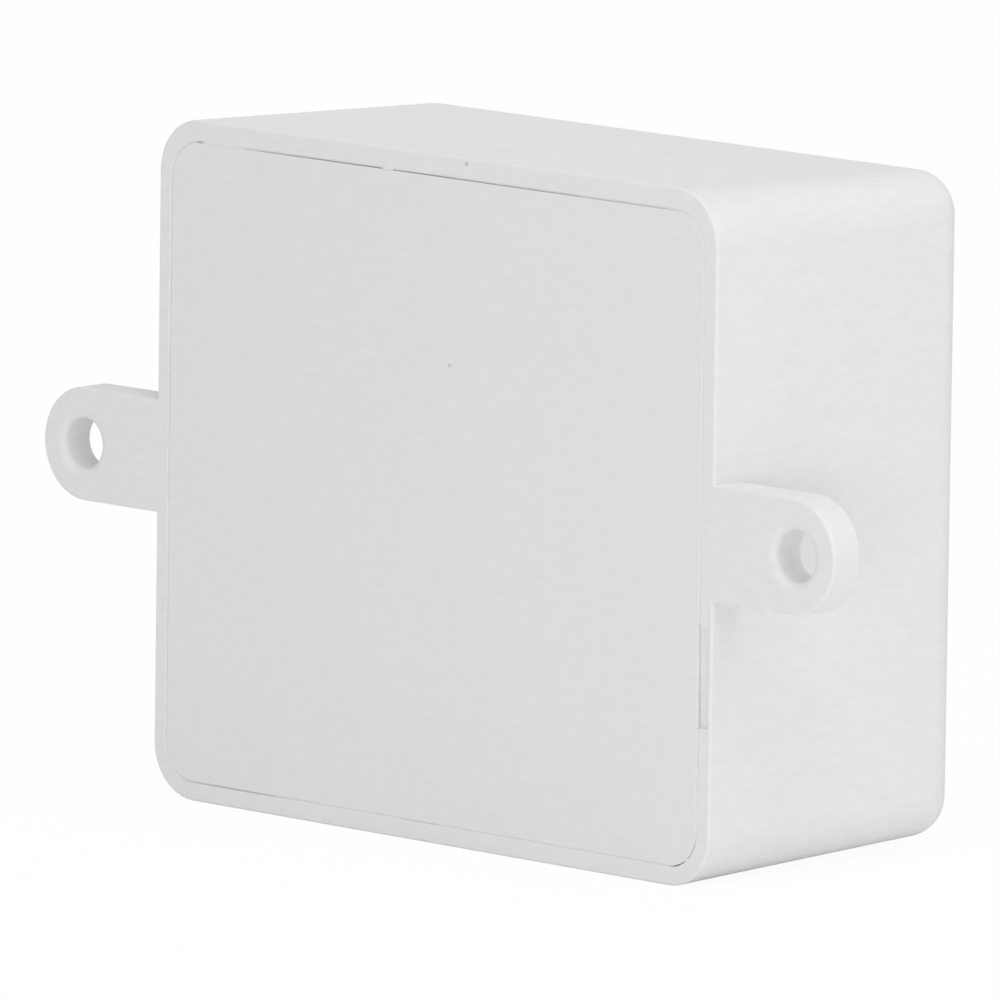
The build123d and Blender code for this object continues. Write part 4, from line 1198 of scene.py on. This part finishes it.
@dataclass
class TerminalFronts:
    """The collars round the clamp screws and the keys between the terminal bodies."""

    collar: float = 0.35
    rise: float = 0.16
    shoulder: Spot = (0.08, 0.6)
    clearance: float = 0.12
    key: float = 0.5
    key_inset: float = 0.6

    def build(self) -> None:
        """Adds the collars and the keys to the terminals' front faces."""
        trims = Sculpt()
        round_off, share = self.shoulder
        for number in range(1, 7):
            low, high = box(f"terminal_screw_{number}")
            front = box(f"terminal_block_{(number + 1) // 2}")[1].y
            inner = (high.x - low.x) / 2 + self.clearance
            outer = inner + self.collar
            trims.turned(
                ((outer, 0.0), (outer, share * self.rise), (outer - round_off, self.rise),
                 (inner + round_off, self.rise), (inner, share * self.rise), (inner, 0.0)),
                ((low.x + high.x) / 2, front, (low.z + high.z) / 2), steps=32,
            )
        for number in (1, 2):
            low, high = box(f"terminal_block_{number}")
            trims.block(
                (high.x - self.key / 2, high.y - 0.3, low.z + self.key_inset),
                (high.x + self.key / 2, high.y + self.rise, high.z - self.key_inset), edge=0.06,
            )
        trims.done("terminal_front_trims", TERMINAL, "terminal_body")


@dataclass
class FrontFace:
    """The raised numerals over the terminals."""

    numeral_size: float = 2.9
    numeral_rise: float = 0.32
    numeral_weight: float = 0.07
    numeral_foot: float = -10.9
    count: int = 6
    pitch: float = 6.35

    def build(self) -> None:
        """Raises the numerals, which read from the front."""
        face = box("housing")[1].y
        marks = Sculpt()
        for i in range(self.count):
            x = ((self.count - 1) / 2 - i) * self.pitch
            marks.lettering(
                str(i + 1), self.numeral_size, (x, face, self.numeral_foot), self.numeral_rise,
                self.numeral_weight,
            )
        marks.done("terminal_numerals", SHELL, "shell")


@dataclass(frozen=True)
class Lamp:
    """A soft square lamp that shines on the module's middle."""

    name: str
    toward: Vector
    size: float
    watts: float
    distance: float = 1.2

    def hang(self) -> None:
        """Hangs the lamp in the scene."""
        data = bpy.data.lights.new(self.name, "AREA")
        data.shape = "SQUARE"
        data.size = self.size
        data.energy = self.watts
        lamp = bpy.data.objects.new(self.name, data)
        bpy.context.scene.collection.objects.link(lamp)
        away = self.toward.normalized()
        lamp.location = away * self.distance
        lamp.rotation_euler = away.to_track_quat("Z", "Y").to_euler()
        lamp.visible_camera = False


@dataclass
class Studio:
    """The camera at the photograph's place, soft lamps, a pale floor and a white room."""

    eye: Vector = Vector((0.818973, -0.838648, 0.177486))
    forward: Vector = Vector((-0.687994, 0.710107, -0.149706))
    right: Vector = Vector((0.716734, 0.697219, 0.013306))
    lens_mm: float = 639.739
    sensor_mm: float = 36.0
    clip: Spot = (0.1, 20.0)
    lamps: tuple[Lamp, ...] = (
        Lamp("overhead", Vector((0.3, -0.1, 1.0)), 1.2, 7.0),
        Lamp("side", Vector((1.0, -0.15, 0.25)), 1.2, 1.75),
        Lamp("front", Vector((0.7, -0.7, -0.02)), 0.1, 0.203, 0.30),
    )
    ambient: float = 0.568
    floor_size: float = 6.0
    floor_shade: float = 0.97
    floor_glow: float = 0.95

    def place_camera(self) -> None:
        """Sets the camera where the photograph was taken from."""
        data = bpy.data.cameras.new("camera")
        data.lens = self.lens_mm
        data.sensor_width = self.sensor_mm
        data.clip_start, data.clip_end = self.clip
        camera = bpy.data.objects.new("camera", data)
        bpy.context.scene.collection.objects.link(camera)
        up = self.right.cross(self.forward)
        turn = Matrix((self.right, up, -self.forward)).transposed().to_4x4()
        camera.matrix_world = Matrix.Translation(self.eye) @ turn
        bpy.context.scene.camera = camera

    def fill_room(self) -> None:
        """Gives the room its even light, and makes it white to the eye and in reflections."""
        world = bpy.data.worlds.new("room")
        bpy.context.scene.world = world
        world.use_nodes = True
        world.node_tree.nodes.clear()
        n = NodeTree(world.node_tree)
        level = n.maths("ADD", n.maths("MULTIPLY", n.seen(), 1.0 - self.ambient), self.ambient)
        light = n.add("Background")
        light.inputs["Color"].default_value = WHITE
        n.link(level, light.inputs["Strength"])
        sink = n.add("OutputWorld")
        n.link(light.outputs[0], sink.inputs["Surface"])

    def lay_floor(self) -> None:
        """Lays the floor under the module, white but for the module's shadow."""
        mesh = bmesh.new()
        bmesh.ops.create_grid(mesh, x_segments=1, y_segments=1, size=self.floor_size / 2)
        bmesh.ops.translate(mesh, verts=mesh.verts, vec=(0.0, 0.0, cad_low.z))
        data = bpy.data.meshes.new("floor")
        mesh.to_mesh(data)
        mesh.free()
        floor = bpy.data.objects.new("floor", data)
        bpy.context.scene.collection.objects.link(floor)
        data.materials.append(self.floor_material())

    def floor_material(self) -> bpy.types.Material:
        """Makes the floor mostly its own white to the eye, and plain to the light.

        Returns:
            The floor's material.
        """
        made = bpy.data.materials.new("floor_white")
        made.use_nodes = True
        made.node_tree.nodes.clear()
        n = NodeTree(made.node_tree)
        plain = n.add("BsdfDiffuse")
        plain.inputs["Color"].default_value = (*[self.floor_shade] * 3, 1.0)
        white = n.add("Emission", strength=1.0)
        mix = n.add("MixShader")
        n.link(n.maths("MULTIPLY", n.seen(), self.floor_glow), mix.inputs[0])
        n.link(plain.outputs[0], mix.inputs[1])
        n.link(white.outputs[0], mix.inputs[2])
        sink = n.add("OutputMaterial")
        n.link(mix.outputs[0], sink.inputs["Surface"])
        return made

    def build(self) -> None:
        """Sets the whole studio up."""
        bpy.context.scene.view_settings.view_transform = "Standard"
        self.place_camera()
        for lamp in self.lamps:
            lamp.hang()
        self.fill_room()
        self.lay_floor()


def main() -> None:
    """Builds the studio and the module's pieces in order."""
    logging.basicConfig(level=logging.INFO, format="%(message)s")
    Studio().build()
    dress_nodes()
    sections = (
        SolderSide(), PowerRelay(), Supply(), RadioSection(), RimFlash(), CoverInside(),
        TerminalFronts(), FrontFace(),
    )
    for section in sections:
        section.build()
        log.info("built %s", type(section).__name__)


if __name__ == "__main__":
    main()
